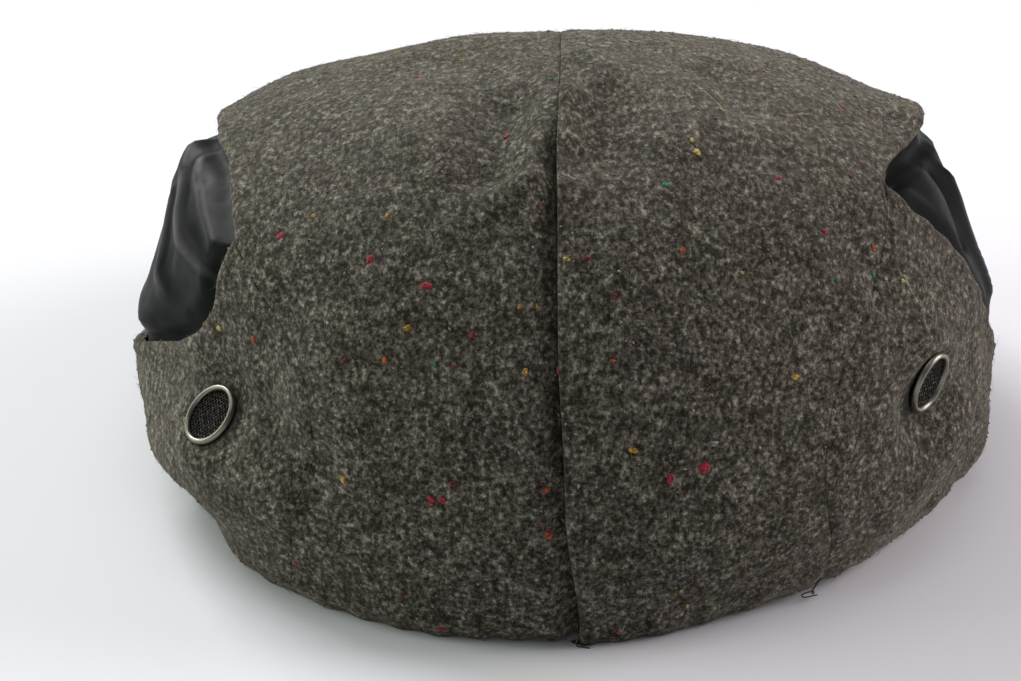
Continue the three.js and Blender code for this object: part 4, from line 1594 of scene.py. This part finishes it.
NEPS = (
    Nep(L, Place(17, 0.81), Wool.CRIMSON, 1.9),
    Nep(R, Place(16, 0.675), Wool.TEAL, 1.8),
    Nep(R, Place(15, 0.285), Wool.CRIMSON, 2.3),
    Nep(R, Place(11, 0.27), Wool.CRIMSON, 2.0),
    Nep(R, Place(7, 0.32), Wool.MUSTARD, 1.9),
    Nep(L, Place(18.5, 0.525), Wool.CRIMSON, 2.1),
    Nep(L, Place(27.5, 0.55), Wool.CRIMSON, 1.8),
    Nep(L, Place(15.5, 0.23), Wool.CRIMSON, 1.9),
    Nep(L, Place(14, 0.235), Wool.CRIMSON, 1.5),
    Nep(L, Place(15, 0.03), Wool.CRIMSON, 1.8),
    Nep(L, Place(43, 0.545), Wool.CRIMSON, 1.9),
    Nep(L, Place(2.5, 0.20), Wool.RUST, 2.0),
    Nep(L, Place(2.5, 0.26), Wool.RUST, 1.7),
    Nep(R, Place(27.5, 0.395), Wool.MUSTARD, 1.9),
    Nep(L, Place(5, 0.43), Wool.MUSTARD),
    Nep(L, Place(39.5, 0.59), Wool.MUSTARD),
    Nep(L, Place(20, 0.465), Wool.MUSTARD),
    Nep(R, Place(25.5, 0.745), Wool.YELLOW),
    Nep(R, Place(25, 0.72), Wool.YELLOW, 1.9),
    Nep(R, Place(37, 0.66), Wool.CRIMSON, 1.8),
    Nep(L, Place(1.5, 0.43), Wool.WINE, 1.7),
    Nep(L, Place(22, 0.42), Wool.RUST),
    Nep(L, Place(50, 0.395), Wool.YELLOW, 1.6),
    Nep(L, Place(43.5, 0.40), Wool.RUST),
    Nep(L, Place(26.5, 0.235), Wool.MUSTARD, 1.8),
    Nep(L, Place(42.5, 0.58), Wool.CREAM, 1.6),
    Nep(R, Place(74, 0.71), Wool.CRIMSON, 1.7),
    Nep(L, Place(70, 0.855), Wool.CRIMSON, 1.7),
    Nep(R, Place(51, 0.63), Wool.WINE),
    Nep(R, Place(38, 0.57), Wool.CRIMSON, 1.6),
    Nep(R, Place(49, 0.475), Wool.YELLOW),
    Nep(R, Place(46.5, 0.53), Wool.RUST, 1.8),
    Nep(R, Place(42.5, 0.80), Wool.YELLOW),
    Nep(R, Place(2.5, 0.57), Wool.WINE),
    Nep(R, Place(15.5, 0.585), Wool.RUST),
    Nep(R, Place(16, 0.315), Wool.CREAM),
    Nep(L, Place(34.5, 0.53), Wool.CREAM, 1.6),
)

# Where a lump of wool lies, the cloth's normal there, its wool and its length
Spot = tuple[Array, Array, Wool, float]


def nearest(shells: dict[str, Shell], place: Array) -> tuple[Array, Array]:
    """The point of some bodies' outer skins nearest to a place, and the normal there."""
    return min((shell.nearest(place) for shell in shells.values()), key=lambda hit: hit[0])[1:]


@dataclass
class Nap:
    """The raised nap of the tweed: loose fibres, and knots of dyed wool pressed into the cloth."""

    cloth: Cloth
    panels: dict[str, Shell]
    seed: int = 11
    clear_of_eyelet: float = 6.6
    fibres_per_mm2: float = 0.32
    mean_length: float = 1.35
    evenness: float = 4
    length_limits: tuple[float, float] = (0.5, 3.2)
    fibre_wools: tuple[Wool, ...] = (Wool.CREAM, Wool.FOG, Wool.EARTH, Wool.PEAT)
    fibre_shares: tuple[float, ...] = (0.14, 0.34, 0.30, 0.22)
    knots_per_mm2: float = 0.0022
    knot_lengths: tuple[float, float] = (0.6, 1.2)
    knot_wools: tuple[Wool, ...] = (
        Wool.CRIMSON, Wool.RUST, Wool.MUSTARD, Wool.YELLOW, Wool.TEAL, Wool.WINE, Wool.EARTH,
    )
    knot_detail: int = 2
    named_share: float = 0.9
    flecks_per_mm2: float = 0.11
    fleck_lengths: tuple[float, float] = (0.4, 1.0)
    fleck_wools: tuple[Wool, ...] = (Wool.CREAM, Wool.FOG, Wool.FOG, Wool.EARTH)
    lump_height: float = 0.48
    lump_breadths: tuple[float, float] = (0.55, 0.85)
    lump_waves: float = 4.5
    lump_depth: float = 0.2
    twill: Triple = (1.0, 0.0, 1.0)
    fibres_per_knot: int = 10
    tuft_reach: tuple[float, float] = (0.1, 0.45)
    tuft_lengths: tuple[float, float] = (0.4, 1.0)

    def fibres(self, panel: str, material: Material, draw: Draw) -> None:
        """Lays the loose fibres of one panel.

        Args:
            panel: the panel's name.
            material: the dyed wool.
            draw: the random draws.
        """
        roots, normals = self.panels[panel].scatter(self.fibres_per_mm2, draw)
        keep = self.cloth.seat_distance(roots) > self.clear_of_eyelet
        roots, normals = roots[keep], normals[keep]
        lengths = draw.gamma(self.evenness, self.mean_length / self.evenness, len(roots))
        palette = np.array([linear(wool.value) for wool in self.fibre_wools])
        dyes = palette[draw.choice(len(palette), len(roots), p=self.fibre_shares)]
        lengths = np.clip(lengths, *self.length_limits)
        piece = Fibres(self.cloth.form).build(f"nap_{panel}", roots, normals, lengths, dyes, draw)
        finish_piece(piece, material, "tweed")

    def lumps(self, name: str, spots: list[Spot], detail: int, material: Material, draw: Draw) -> None:
        """Presses lumps of wool into the cloth, each uneven in its own way.

        Args:
            name: the object's name.
            spots: the lumps' spots.
            detail: how finely a lump is divided, 0 for one of eight faces.
            material: the dyed wool.
            draw: the random draws.
        """
        bm = bmesh.new()
        if detail:
            bmesh.ops.create_icosphere(bm, subdivisions=detail, radius=0.5)
        else:
            for tip in (*np.eye(3), *-np.eye(3)):
                bm.verts.new(tip / 2)
            bmesh.ops.convex_hull(bm, input=bm.verts[:])
        shape, count = np.array([vert.co[:] for vert in bm.verts]), len(spots)
        repeat(bm, count)
        piece = to_object(name, bm)
        points, normals, lengths = (np.array([spot[k] for spot in spots]) for k in (0, 1, 3))
        waves = draw.normal(size=(2, count, 3)) * self.lump_waves
        shifts = draw.uniform(0, 2 * math.pi, (2, count, 1))
        uneven = 1 + sum(
            self.lump_depth * np.sin(wave @ shape.T + shift) for wave, shift in zip(waves, shifts)
        )
        across = unit(np.cross(normals, draw.normal(size=(count, 3)) - np.array(self.twill)))
        axes = np.stack([across, np.cross(normals, across), normals], axis=1)
        breadths = lengths * draw.uniform(*self.lump_breadths, count)
        sizes = np.stack([lengths, breadths, np.full(count, self.lump_height)], axis=1)
        balls = shape[None] * uneven[..., None]
        places = points[:, None] + np.einsum("kvi,ki,kij->kvj", balls, sizes, axes)
        places[..., 2] = np.maximum(places[..., 2], 0)
        piece.data.vertices.foreach_set("co", self.cloth.form.in_frame(places).astype(np.float32).ravel())
        colour_points(piece, np.repeat([linear(spot[2].value) for spot in spots], len(shape), axis=0))
        finish_piece(piece, material, "tweed")

    def spread(
        self, shell: Shell, rate: float, wools: tuple[Wool, ...], sizes: tuple[float, float], draw: Draw
    ) -> list[Spot]:
        """Random spots all over a panel, clear of the eyelets.

        Args:
            shell: the panel's body.
            rate: how many there are on a square millimetre.
            wools: their colours.
            sizes: the shortest and the longest.
            draw: the random draws.

        Returns:
            The spots.
        """
        points, normals = shell.scatter(rate, draw)
        keep = self.cloth.seat_distance(points) > self.clear_of_eyelet
        picks, lengths = draw.integers(len(wools), size=len(points)), draw.uniform(*sizes, len(points))
        columns = zip(points, normals, picks, lengths, keep)
        return [(point, normal, wools[pick], size) for point, normal, pick, size, kept in columns if kept]

    def knots(self, material: Material, draw: Draw) -> None:
        """Presses the knots of dyed wool into the cloth, each with a few fibres of its own.

        Args:
            material: the dyed wool.
            draw: the random draws.
        """
        spots = []
        for nep in NEPS:
            point, normal = nearest(self.panels, self.cloth.at(nep.side, nep.place))
            spots.append((point, normal, nep.wool, self.named_share * nep.length))
        for shell in self.panels.values():
            spots += self.spread(shell, self.knots_per_mm2, self.knot_wools, self.knot_lengths, draw)
        self.lumps("wool_knots", spots, self.knot_detail, material, draw)
        columns = ([spot[0] for spot in spots], [spot[1] for spot in spots], [spot[3] for spot in spots])
        roots, normals, reach = (np.repeat(column, self.fibres_per_knot, axis=0) for column in columns)
        dyes = np.repeat([linear(spot[2].value) for spot in spots], self.fibres_per_knot, axis=0)
        aside = unit(np.cross(normals, draw.normal(size=roots.shape)))
        roots = roots + aside * reach[:, None] * draw.uniform(*self.tuft_reach, (len(roots), 1))
        lengths = draw.uniform(*self.tuft_lengths, len(roots))
        tufts = Fibres(self.cloth.form).build("nap_of_wool_knots", roots, normals, lengths, dyes, draw)
        finish_piece(tufts, material, "tweed")

    def build(self, material: Material) -> None:
        """Builds the knots, then the flecks and the loose fibres of each panel.

        Args:
            material: the dyed wool.
        """
        draw = np.random.default_rng(self.seed)
        self.knots(material, draw)
        for panel, shell in self.panels.items():
            flecks = self.spread(shell, self.flecks_per_mm2, self.fleck_wools, self.fleck_lengths, draw)
            self.lumps(f"wool_flecks_{panel}", flecks, 0, material, draw)
        for panel in self.panels:
            self.fibres(panel, material, draw)


@dataclass(frozen=True)
class Thread:
    """A loose thread or hair: the places it passes over, how far off the cloth, and its thickness."""

    side: Side
    way: tuple[Place, ...]
    heights: tuple[float, ...]
    radius: float
    wool: Wool


THREADS = (
    # the tail of the sewing thread under the right seam
    Thread(
        R,
        (
            Place(34.5, 0.03), Place(34, 0.005), Place(33, 0.015), Place(32, 0.03), Place(31.5, 0.012),
            Place(32.5, 0.002), Place(33.5, 0.008),
        ),
        (0.0, 0.8, 1.6, 1.5, 0.9, 1.2, 2.0), 0.13, Wool.PEAT,
    ),
    # the frayed end at the foot of the centre seam
    Thread(R, (Place(1.2, 0.02), Place(1.6, 0.005), Place(2.4, 0.002)), (0.1, 0.8, 1.3), 0.15, Wool.EARTH),
    Thread(R, (Place(1.0, 0.02), Place(0.9, 0.006), Place(0.4, 0.003)), (0.1, 0.7, 1.0), 0.12, Wool.FOG),
    # hairs that lie on the crown
    Thread(
        L, (Place(33, 0.80), Place(29.5, 0.83), Place(25, 0.835), Place(23.5, 0.82)),
        (0, 0.5, 0.6, 0.1), 0.06, Wool.CREAM,
    ),
    Thread(L, (Place(24.5, 0.76), Place(23.5, 0.735), Place(23.8, 0.71)), (0, 0.5, 0.1), 0.05, Wool.CREAM),
    Thread(R, (Place(44, 0.845), Place(44.5, 0.83), Place(42.5, 0.79)), (0, 0.6, 0.1), 0.06, Wool.CREAM),
)


@dataclass
class LooseThreads:
    """The few threads and hairs that have worked loose."""

    cloth: Cloth
    panels: dict[str, Shell]
    steps: int = 22
    sides: int = 5

    def build(self, material: Material) -> None:
        """Builds the threads.

        Args:
            material: the dyed wool.
        """
        bm, dyes = bmesh.new(), []
        for thread in THREADS:
            before, knots = len(bm.verts), []
            for place, height in zip(thread.way, thread.heights):
                point, normal = nearest(self.panels, self.cloth.at(thread.side, place))
                knots.append(point + normal * height)
            path = self.cloth.form.in_frame(spline(np.array(knots), np.linspace(0, 1, self.steps)))
            path[:, 2] = np.maximum(path[:, 2], thread.radius * MM)
            tube(bm, [Vector(point) for point in path], thread.radius * MM, self.sides)
            dyes += [linear(thread.wool.value)] * (len(bm.verts) - before)
        settle_faces(bm)
        piece = to_object("loose_threads", bm)
        colour_points(piece, np.array(dyes))
        finish_piece(piece, material, "tweed")


# Settings of Mix nodes: one that blends numbers, and one that multiplies a colour by a tint
MIX = {"data_type": "FLOAT"}
TINT = {"data_type": "RGBA", "blend_type": "MULTIPLY"}


def blank_material(name: str) -> tuple[Material, NodeTree]:
    """A new material, and its nodes, of which there are none yet."""
    made = bpy.data.materials.new(name)
    made.use_nodes = True
    made.node_tree.nodes.clear()
    return made, made.node_tree


def add_node(tree: NodeTree, kind: str, settings: dict | None = None, **inputs) -> bpy.types.NodeOutputs:
    """Adds a node with its settings and links.

    Args:
        tree: the material's nodes.
        kind: the node's type, without its ShaderNode prefix.
        settings: properties of the node, or the stops of a colour ramp, each a place from 0 to 1 and
            an sRGB hex colour.
        inputs: for each input, by name with _ for a space or by i and its number, a value or an
            output socket.

    Returns:
        The node's output sockets.
    """
    node = tree.nodes.new(f"ShaderNode{kind}")
    for name, value in (settings or {}).items():
        if name != "stops":
            setattr(node, name, value)
            continue
        elements = node.color_ramp.elements
        while len(elements) < len(value):
            elements.new(0.5)
        for element, (place, colour) in zip(elements, value):
            element.position, element.color = place, linear(colour)
    for name, value in inputs.items():
        numbered = name[0] == "i" and name[1:].isdigit()
        socket = node.inputs[int(name[1:])] if numbered else node.inputs[name.replace("_", " ")]
        if isinstance(value, NodeSocket):
            tree.links.new(value, socket)
        else:
            socket.default_value = value
    return node.outputs


@dataclass(frozen=True)
class Tweed:
    """Fulled Donegal tweed: a 2/2 twill of marled grey-brown woollen yarns, milled until it felts.

    The yarns surface as soft light and dark flecks, longer along the warp that runs front to back.
    The nap blurs them, and the sheen is wool's.
    """

    yarn_pitch: float = 0.5
    sway_size: float = 2.2
    sway: float = 1.3
    fleck_length: float = 1.25
    thread_step: float = 7.31
    twill_repeat: float = 4
    twill_over: float = 1.5
    warp_length: float = 2.0
    blot_size: float = 0.95
    fibre_size: float = 0.3
    weave_share: float = 0.25
    fibre_share: float = 0.14
    lump_share: float = 0.75
    nap_share: float = 0.45
    marl: Stops = ((0.34, "1c1b19"), (0.45, "363530"), (0.54, "67655f"), (0.66, "b3b1aa"))
    # the size of the blots in each tint: single fibres, patches and clouds
    tints: tuple[tuple[float, Stops], ...] = (
        (0.9, ((0.38, "eaf0e4"), (0.5, "f6f4ee"), (0.62, "f4e9eb"))),
        (3.4, ((0.34, "c2c0bb"), (0.66, "ffffff"))),
        (18, ((0.36, "f7f7ef"), (0.5, "faf8f3"), (0.64, "faf6f3"))),
    )
    relief: float = 0.2
    roughness: float = 0.95

    def material(self) -> Material:
        """Builds the material."""
        made, tree = blank_material("fulled_tweed")
        place = add_node(tree, "TexCoord")["Object"]
        ways = self._yarns(tree)
        column, row = (add_node(tree, "Math", {"operation": "FLOOR"}, i0=way)[0] for way in ways)
        both = add_node(tree, "Math", {"operation": "ADD"}, i0=column, i1=row)[0]
        turn = add_node(tree, "Math", {"operation": "FLOORED_MODULO"}, i0=both, i1=self.twill_repeat)[0]
        warp_up = add_node(tree, "Math", {"operation": "LESS_THAN"}, i0=turn, i1=self.twill_over)[0]
        tones, rounds = [], []
        for across, along in ((column, ways[1]), (row, ways[0])):
            thread = add_node(tree, "Math", {"operation": "MULTIPLY"}, i0=across, i1=self.thread_step)[0]
            stretch = self.yarn_pitch / self.fleck_length
            length = add_node(tree, "Math", {"operation": "MULTIPLY"}, i0=along, i1=stretch)[0]
            at = add_node(tree, "CombineXYZ", i0=thread, i1=length, i2=3.0 * len(tones))[0]
            tones.append(add_node(tree, "TexNoise", Vector=at, Scale=1.0, Detail=2.0)["Fac"])
        for way in ways:
            share = add_node(tree, "Math", {"operation": "FRACT"}, i0=way)[0]
            turned = add_node(tree, "Math", {"operation": "MULTIPLY"}, i0=share, i1=math.pi)[0]
            rounds.append(add_node(tree, "Math", {"operation": "SINE"}, i0=turned)[0])
        weave, yarn = (add_node(tree, "Mix", MIX, i0=warp_up, i2=b, i3=a)[0] for a, b in (tones, rounds))
        long = (1, 1 / self.warp_length, 1)
        warp = add_node(tree, "VectorMath", {"operation": "MULTIPLY"}, i0=place, i1=long)[0]
        blots, fibres = (
            add_node(tree, "TexNoise", Vector=warp, Scale=1 / size, Detail=fine, Roughness=rough)["Fac"]
            for size, fine, rough in ((self.blot_size * MM, 4.0, 0.68), (self.fibre_size * MM, 3.0, 0.6))
        )
        marl = add_node(tree, "Mix", MIX, i0=self.weave_share, i2=blots, i3=weave)[0]
        marl = add_node(tree, "Mix", MIX, i0=self.fibre_share, i2=marl, i3=fibres)[0]
        colour = add_node(tree, "ValToRGB", {"stops": self.marl}, Fac=marl)[0]
        for size, stops in self.tints:
            blot = add_node(
                tree, "TexNoise", Vector=place, Scale=1 / (size * MM), Detail=1.0, Roughness=0.5
            )["Fac"]
            tint = add_node(tree, "ValToRGB", {"stops": stops}, Fac=blot)[0]
            colour = add_node(tree, "Mix", TINT, i0=1.0, i6=colour, i7=tint)[2]
        lumps = add_node(tree, "Mix", MIX, i0=self.lump_share, i2=yarn, i3=blots)[0]
        height = add_node(tree, "Mix", MIX, i0=self.nap_share, i2=lumps, i3=fibres)[0]
        bump = add_node(tree, "Bump", Strength=0.7, Distance=self.relief * MM, Height=height)[0]
        shader = add_node(
            tree, "BsdfPrincipled", Base_Color=colour, Roughness=self.roughness, Normal=bump,
            Specular_IOR_Level=0.1, Sheen_Weight=0.14, Sheen_Roughness=0.45, Sheen_Tint=linear("f4ead8"),
        )[0]
        add_node(tree, "OutputMaterial", Surface=shader)
        return made

    def _yarns(self, tree: NodeTree) -> tuple[NodeSocket, NodeSocket]:
        """The place on the flat cut counted in yarns, a little uneven as handspun yarns lie.

        Args:
            tree: the material's nodes.

        Returns:
            The sockets across and along.
        """
        cut = add_node(tree, "UVMap", {"uv_map": UV_NAME})["UV"]
        uneven = add_node(
            tree, "TexNoise", {"noise_dimensions": "2D"}, Vector=cut, Scale=1 / (self.sway_size * MM),
            Detail=3.0,
        )["Color"]
        centred = add_node(tree, "VectorMath", {"operation": "SUBTRACT"}, i0=uneven, i1=(0.5, 0.5, 0.5))[0]
        reach = (self.sway * MM, self.sway * MM, 0)
        moved = add_node(tree, "VectorMath", {"operation": "MULTIPLY_ADD"}, i0=centred, i1=reach, i2=cut)[0]
        scale = 1 / (self.yarn_pitch * MM)
        yarns = add_node(tree, "VectorMath", {"operation": "SCALE"}, i0=moved, Scale=scale)[0]
        parts = add_node(tree, "SeparateXYZ", i0=yarns)
        return parts[0], parts[1]


@dataclass(frozen=True)
class DyedWool:
    """Loose dyed wool fibres: matt, with wool's soft sheen, each in its own dye."""

    strand_size: float = 0.45
    shades: Stops = ((0.35, "7d7d7d"), (0.65, "ffffff"))
    relief: float = 0.15
    roughness: float = 0.9

    def material(self) -> Material:
        """Builds the material."""
        made, tree = blank_material("dyed_wool")
        dye = add_node(tree, "Attribute", {"attribute_name": DYE_NAME})["Color"]
        place = add_node(tree, "TexCoord")["Object"]
        scale = 1 / (self.strand_size * MM)
        strands = add_node(tree, "TexNoise", Vector=place, Scale=scale, Detail=3.0)["Fac"]
        shade = add_node(tree, "ValToRGB", {"stops": self.shades}, Fac=strands)[0]
        colour = add_node(tree, "Mix", TINT, i0=1.0, i6=dye, i7=shade)[2]
        bump = add_node(tree, "Bump", Strength=0.8, Distance=self.relief * MM, Height=strands)[0]
        shader = add_node(
            tree, "BsdfPrincipled", Base_Color=colour, Roughness=self.roughness, Specular_IOR_Level=0.25,
            Sheen_Weight=0.12, Sheen_Roughness=0.5, Normal=bump,
        )[0]
        add_node(tree, "OutputMaterial", Surface=shader)
        return made


@dataclass(frozen=True)
class SoftLeather:
    """Black lambskin nappa, dyed and lightly finished; the crests of its folds get a painted lilac-grey
    highlight and a little more gloss.
    """

    colour: str = "141615"
    # the painted highlight's colour on the crests of the folds
    worn_colour: str = "424046"
    grain: float = 0.55
    grain_relief: float = 0.04
    pore_size: float = 4
    roughness: float = 0.4
    gloss: float = 0.025
    worn_gloss: float = 0.13

    def material(self) -> Material:
        """Builds the material."""
        made, tree = blank_material("black_nappa")
        place = add_node(tree, "TexCoord")["Object"]
        cells = add_node(tree, "TexVoronoi", Vector=place, Scale=1 / (self.grain * MM))["Distance"]
        pores = add_node(tree, "TexNoise", Vector=place, Scale=1 / (self.pore_size * MM), Detail=4.0)["Fac"]
        rough = add_node(
            tree, "MapRange", Value=pores, i1=0.3, i2=0.7, i3=self.roughness - 0.05, i4=self.roughness + 0.07
        )[0]
        bump = add_node(tree, "Bump", Strength=0.25, Distance=self.grain_relief * MM, Height=cells)[0]
        # the crests of the folds get a painted highlight: thin lilac-grey lines on near black, and a little
        # more gloss
        wear = add_node(tree, "Attribute", {"attribute_name": CREST_SHEEN_NAME})["Fac"]
        crest_sheen = add_node(tree, "Math", {"operation": "MULTIPLY"}, i0=wear, i1=pores)[0]
        crest_sheen = add_node(tree, "MapRange", Value=crest_sheen, i1=0.04, i2=0.6)[0]
        tones = {"i6": linear(self.colour), "i7": linear(self.worn_colour)}
        # mixes the painted lilac-grey highlight into the colour along the crests
        colour = add_node(tree, "Mix", {"data_type": "RGBA"}, i0=crest_sheen, **tones)[2]
        gloss = add_node(tree, "MapRange", Value=crest_sheen, i3=self.gloss, i4=self.worn_gloss)[0]
        shader = add_node(
            tree, "BsdfPrincipled", Base_Color=colour, Roughness=rough, Normal=bump, Specular_IOR_Level=gloss
        )[0]
        add_node(tree, "OutputMaterial", Surface=shader)
        return made


@dataclass(frozen=True)
class Metal:
    """A plated metal, with fine handling marks that break its shine."""

    name: str
    colour: str
    roughness: float
    mark_size: float = 0.7
    mark_depth: float = 0.02

    def material(self) -> Material:
        """Builds the material."""
        made, tree = blank_material(self.name)
        place = add_node(tree, "TexCoord")["Object"]
        scale = 1 / (self.mark_size * MM)
        marks = add_node(tree, "TexNoise", Vector=place, Scale=scale, Detail=5.0, Roughness=0.7)["Fac"]
        rough = add_node(
            tree, "MapRange", Value=marks, i1=0.3, i2=0.7, i3=self.roughness * 0.75, i4=self.roughness * 1.3
        )[0]
        bump = add_node(tree, "Bump", Strength=0.15, Distance=self.mark_depth * MM, Height=marks)[0]
        shader = add_node(
            tree, "BsdfPrincipled", Base_Color=linear(self.colour), Metallic=1.0, Roughness=rough, Normal=bump
        )[0]
        add_node(tree, "OutputMaterial", Surface=shader)
        return made


@dataclass(frozen=True)
class Lamp:
    """A soft square light that faces the cap: its place and side in metres, and its power in watts."""

    name: str
    place: Triple
    size: float
    power: float
    colour: str = "ffffff"


LAMPS = (
    Lamp("window", (-1.5, 1.9, 1.8), 1.6, 83),
    Lamp("ceiling", (0.0, 0.0, 1.9), 1.5, 7),
    Lamp("left_softbox", (-1.15, -0.1, 0.5), 0.8, 7, "f2fdea"),
    Lamp("right_softbox", (1.2, 0.15, 0.55), 0.8, 14, "fff4f4"),
    Lamp("camera_side", (-0.3, -1.3, 0.4), 0.8, 1),
)


@dataclass
class Studio:
    """A pale floor, soft lights and the camera."""

    form: CapForm
    floor_size: float = 3.0
    lens: float = 80
    sensor: float = 36
    focal_pixels: float = 2269
    width: int = 1021
    height: int = 681
    elevation: float = 20.2
    azimuth: float = -0.5
    distance: float = 491
    aim_pixel: tuple[float, float] = (561, 421)
    clip: tuple[float, float] = (0.01, 20)
    lit_point: Triple = (0, 0, 0.04)
    air_strength: float = 0.22

    def _hang(self, name: str, data: bpy.types.ID, place: Triple, turn: Quaternion) -> Object:
        """Places a lamp or the camera.

        Args:
            name: its name.
            data: the lamp's or the camera's data.
            place: where it hangs, in metres.
            turn: which way it faces.

        Returns:
            The object.
        """
        hung = bpy.data.objects.new(name, data)
        bpy.context.scene.collection.objects.link(hung)
        hung.location, hung.rotation_mode = place, "QUATERNION"
        hung.rotation_quaternion = turn
        return hung

    def floor(self) -> None:
        """Lays the pale floor."""
        bm = bmesh.new()
        bmesh.ops.create_grid(bm, x_segments=1, y_segments=1, size=self.floor_size)
        piece = to_object("floor", bm)
        made = bpy.data.materials.new("pale_paper")
        made.use_nodes = True
        shader = made.node_tree.nodes["Principled BSDF"]
        shader.inputs["Base Color"].default_value = linear("e1e1e6")
        shader.inputs["Roughness"].default_value = 0.9
        piece.data.materials.append(made)

    def camera(self) -> None:
        """Sets the camera at the photograph's angle and distance."""
        turn, tilt = math.radians(self.azimuth), math.radians(self.elevation)
        ahead = Vector((math.sin(turn) * math.cos(tilt), math.cos(turn) * math.cos(tilt), -math.sin(tilt)))
        right = Vector((math.cos(turn), -math.sin(turn), 0))
        up = right.cross(ahead)
        aside = (self.aim_pixel[0] - self.width / 2) / self.focal_pixels
        above = (self.height / 2 - self.aim_pixel[1]) / self.focal_pixels
        target = Vector(self.form.in_frame(np.zeros(3)))
        data = bpy.data.cameras.new("camera")
        data.lens, data.sensor_width = self.lens, self.sensor
        data.clip_start, data.clip_end = self.clip
        place = target - self.distance * MM * (ahead + right * aside + up * above)
        facing = Matrix((right, up, -ahead)).transposed().to_quaternion()
        bpy.context.scene.camera = self._hang("camera", data, place, facing)

    def lights(self) -> None:
        """Hangs the lamps and fills the air with a little light."""
        for lamp in LAMPS:
            data = bpy.data.lights.new(lamp.name, "AREA")
            data.shape, data.size, data.energy = "SQUARE", lamp.size, lamp.power
            data.color = linear(lamp.colour)[:3]
            facing = (Vector(lamp.place) - Vector(self.lit_point)).to_track_quat("Z", "Y")
            self._hang(lamp.name, data, lamp.place, facing)
        world = bpy.data.worlds.new("studio_air")
        world.use_nodes = True
        air = world.node_tree.nodes["Background"]
        air.inputs["Color"].default_value = linear("f4f5fa")
        air.inputs["Strength"].default_value = self.air_strength
        bpy.context.scene.world = world
        bpy.context.scene.view_settings.view_transform = "Standard"

    def build(self) -> None:
        """Builds the whole stage."""
        self.floor()
        self.camera()
        self.lights()


def main() -> None:
    """Builds the cap and its stage."""
    cloth = Cloth()
    tweed = Tweed().material()
    leather = SoftLeather().material()
    nickel = Metal("dark_nickel", "7c786f", 0.32).material()
    wire = Metal("gunmetal_wire", "3b3936", 0.52, 0.3).material()
    wool = DyedWool().material()
    panels = {}
    for side in Side:
        panels[f"crown_{side.word}"] = CrownHalf(cloth, side).build(tweed)
        panels[f"side_{side.word}"] = SidePanel(cloth, side).build(tweed)
        SideInsert(cloth, side).build(leather)
        eyelet = Eyelet(cloth, side)
        eyelet.ring(nickel)
        eyelet.wires(wire)
    panels["peak"] = Peak(cloth.form).build(tweed)
    Nap(cloth, panels).build(wool)
    LooseThreads(cloth, panels).build(wool)
    Studio(cloth.form).build()


if __name__ == "__main__":
    main()
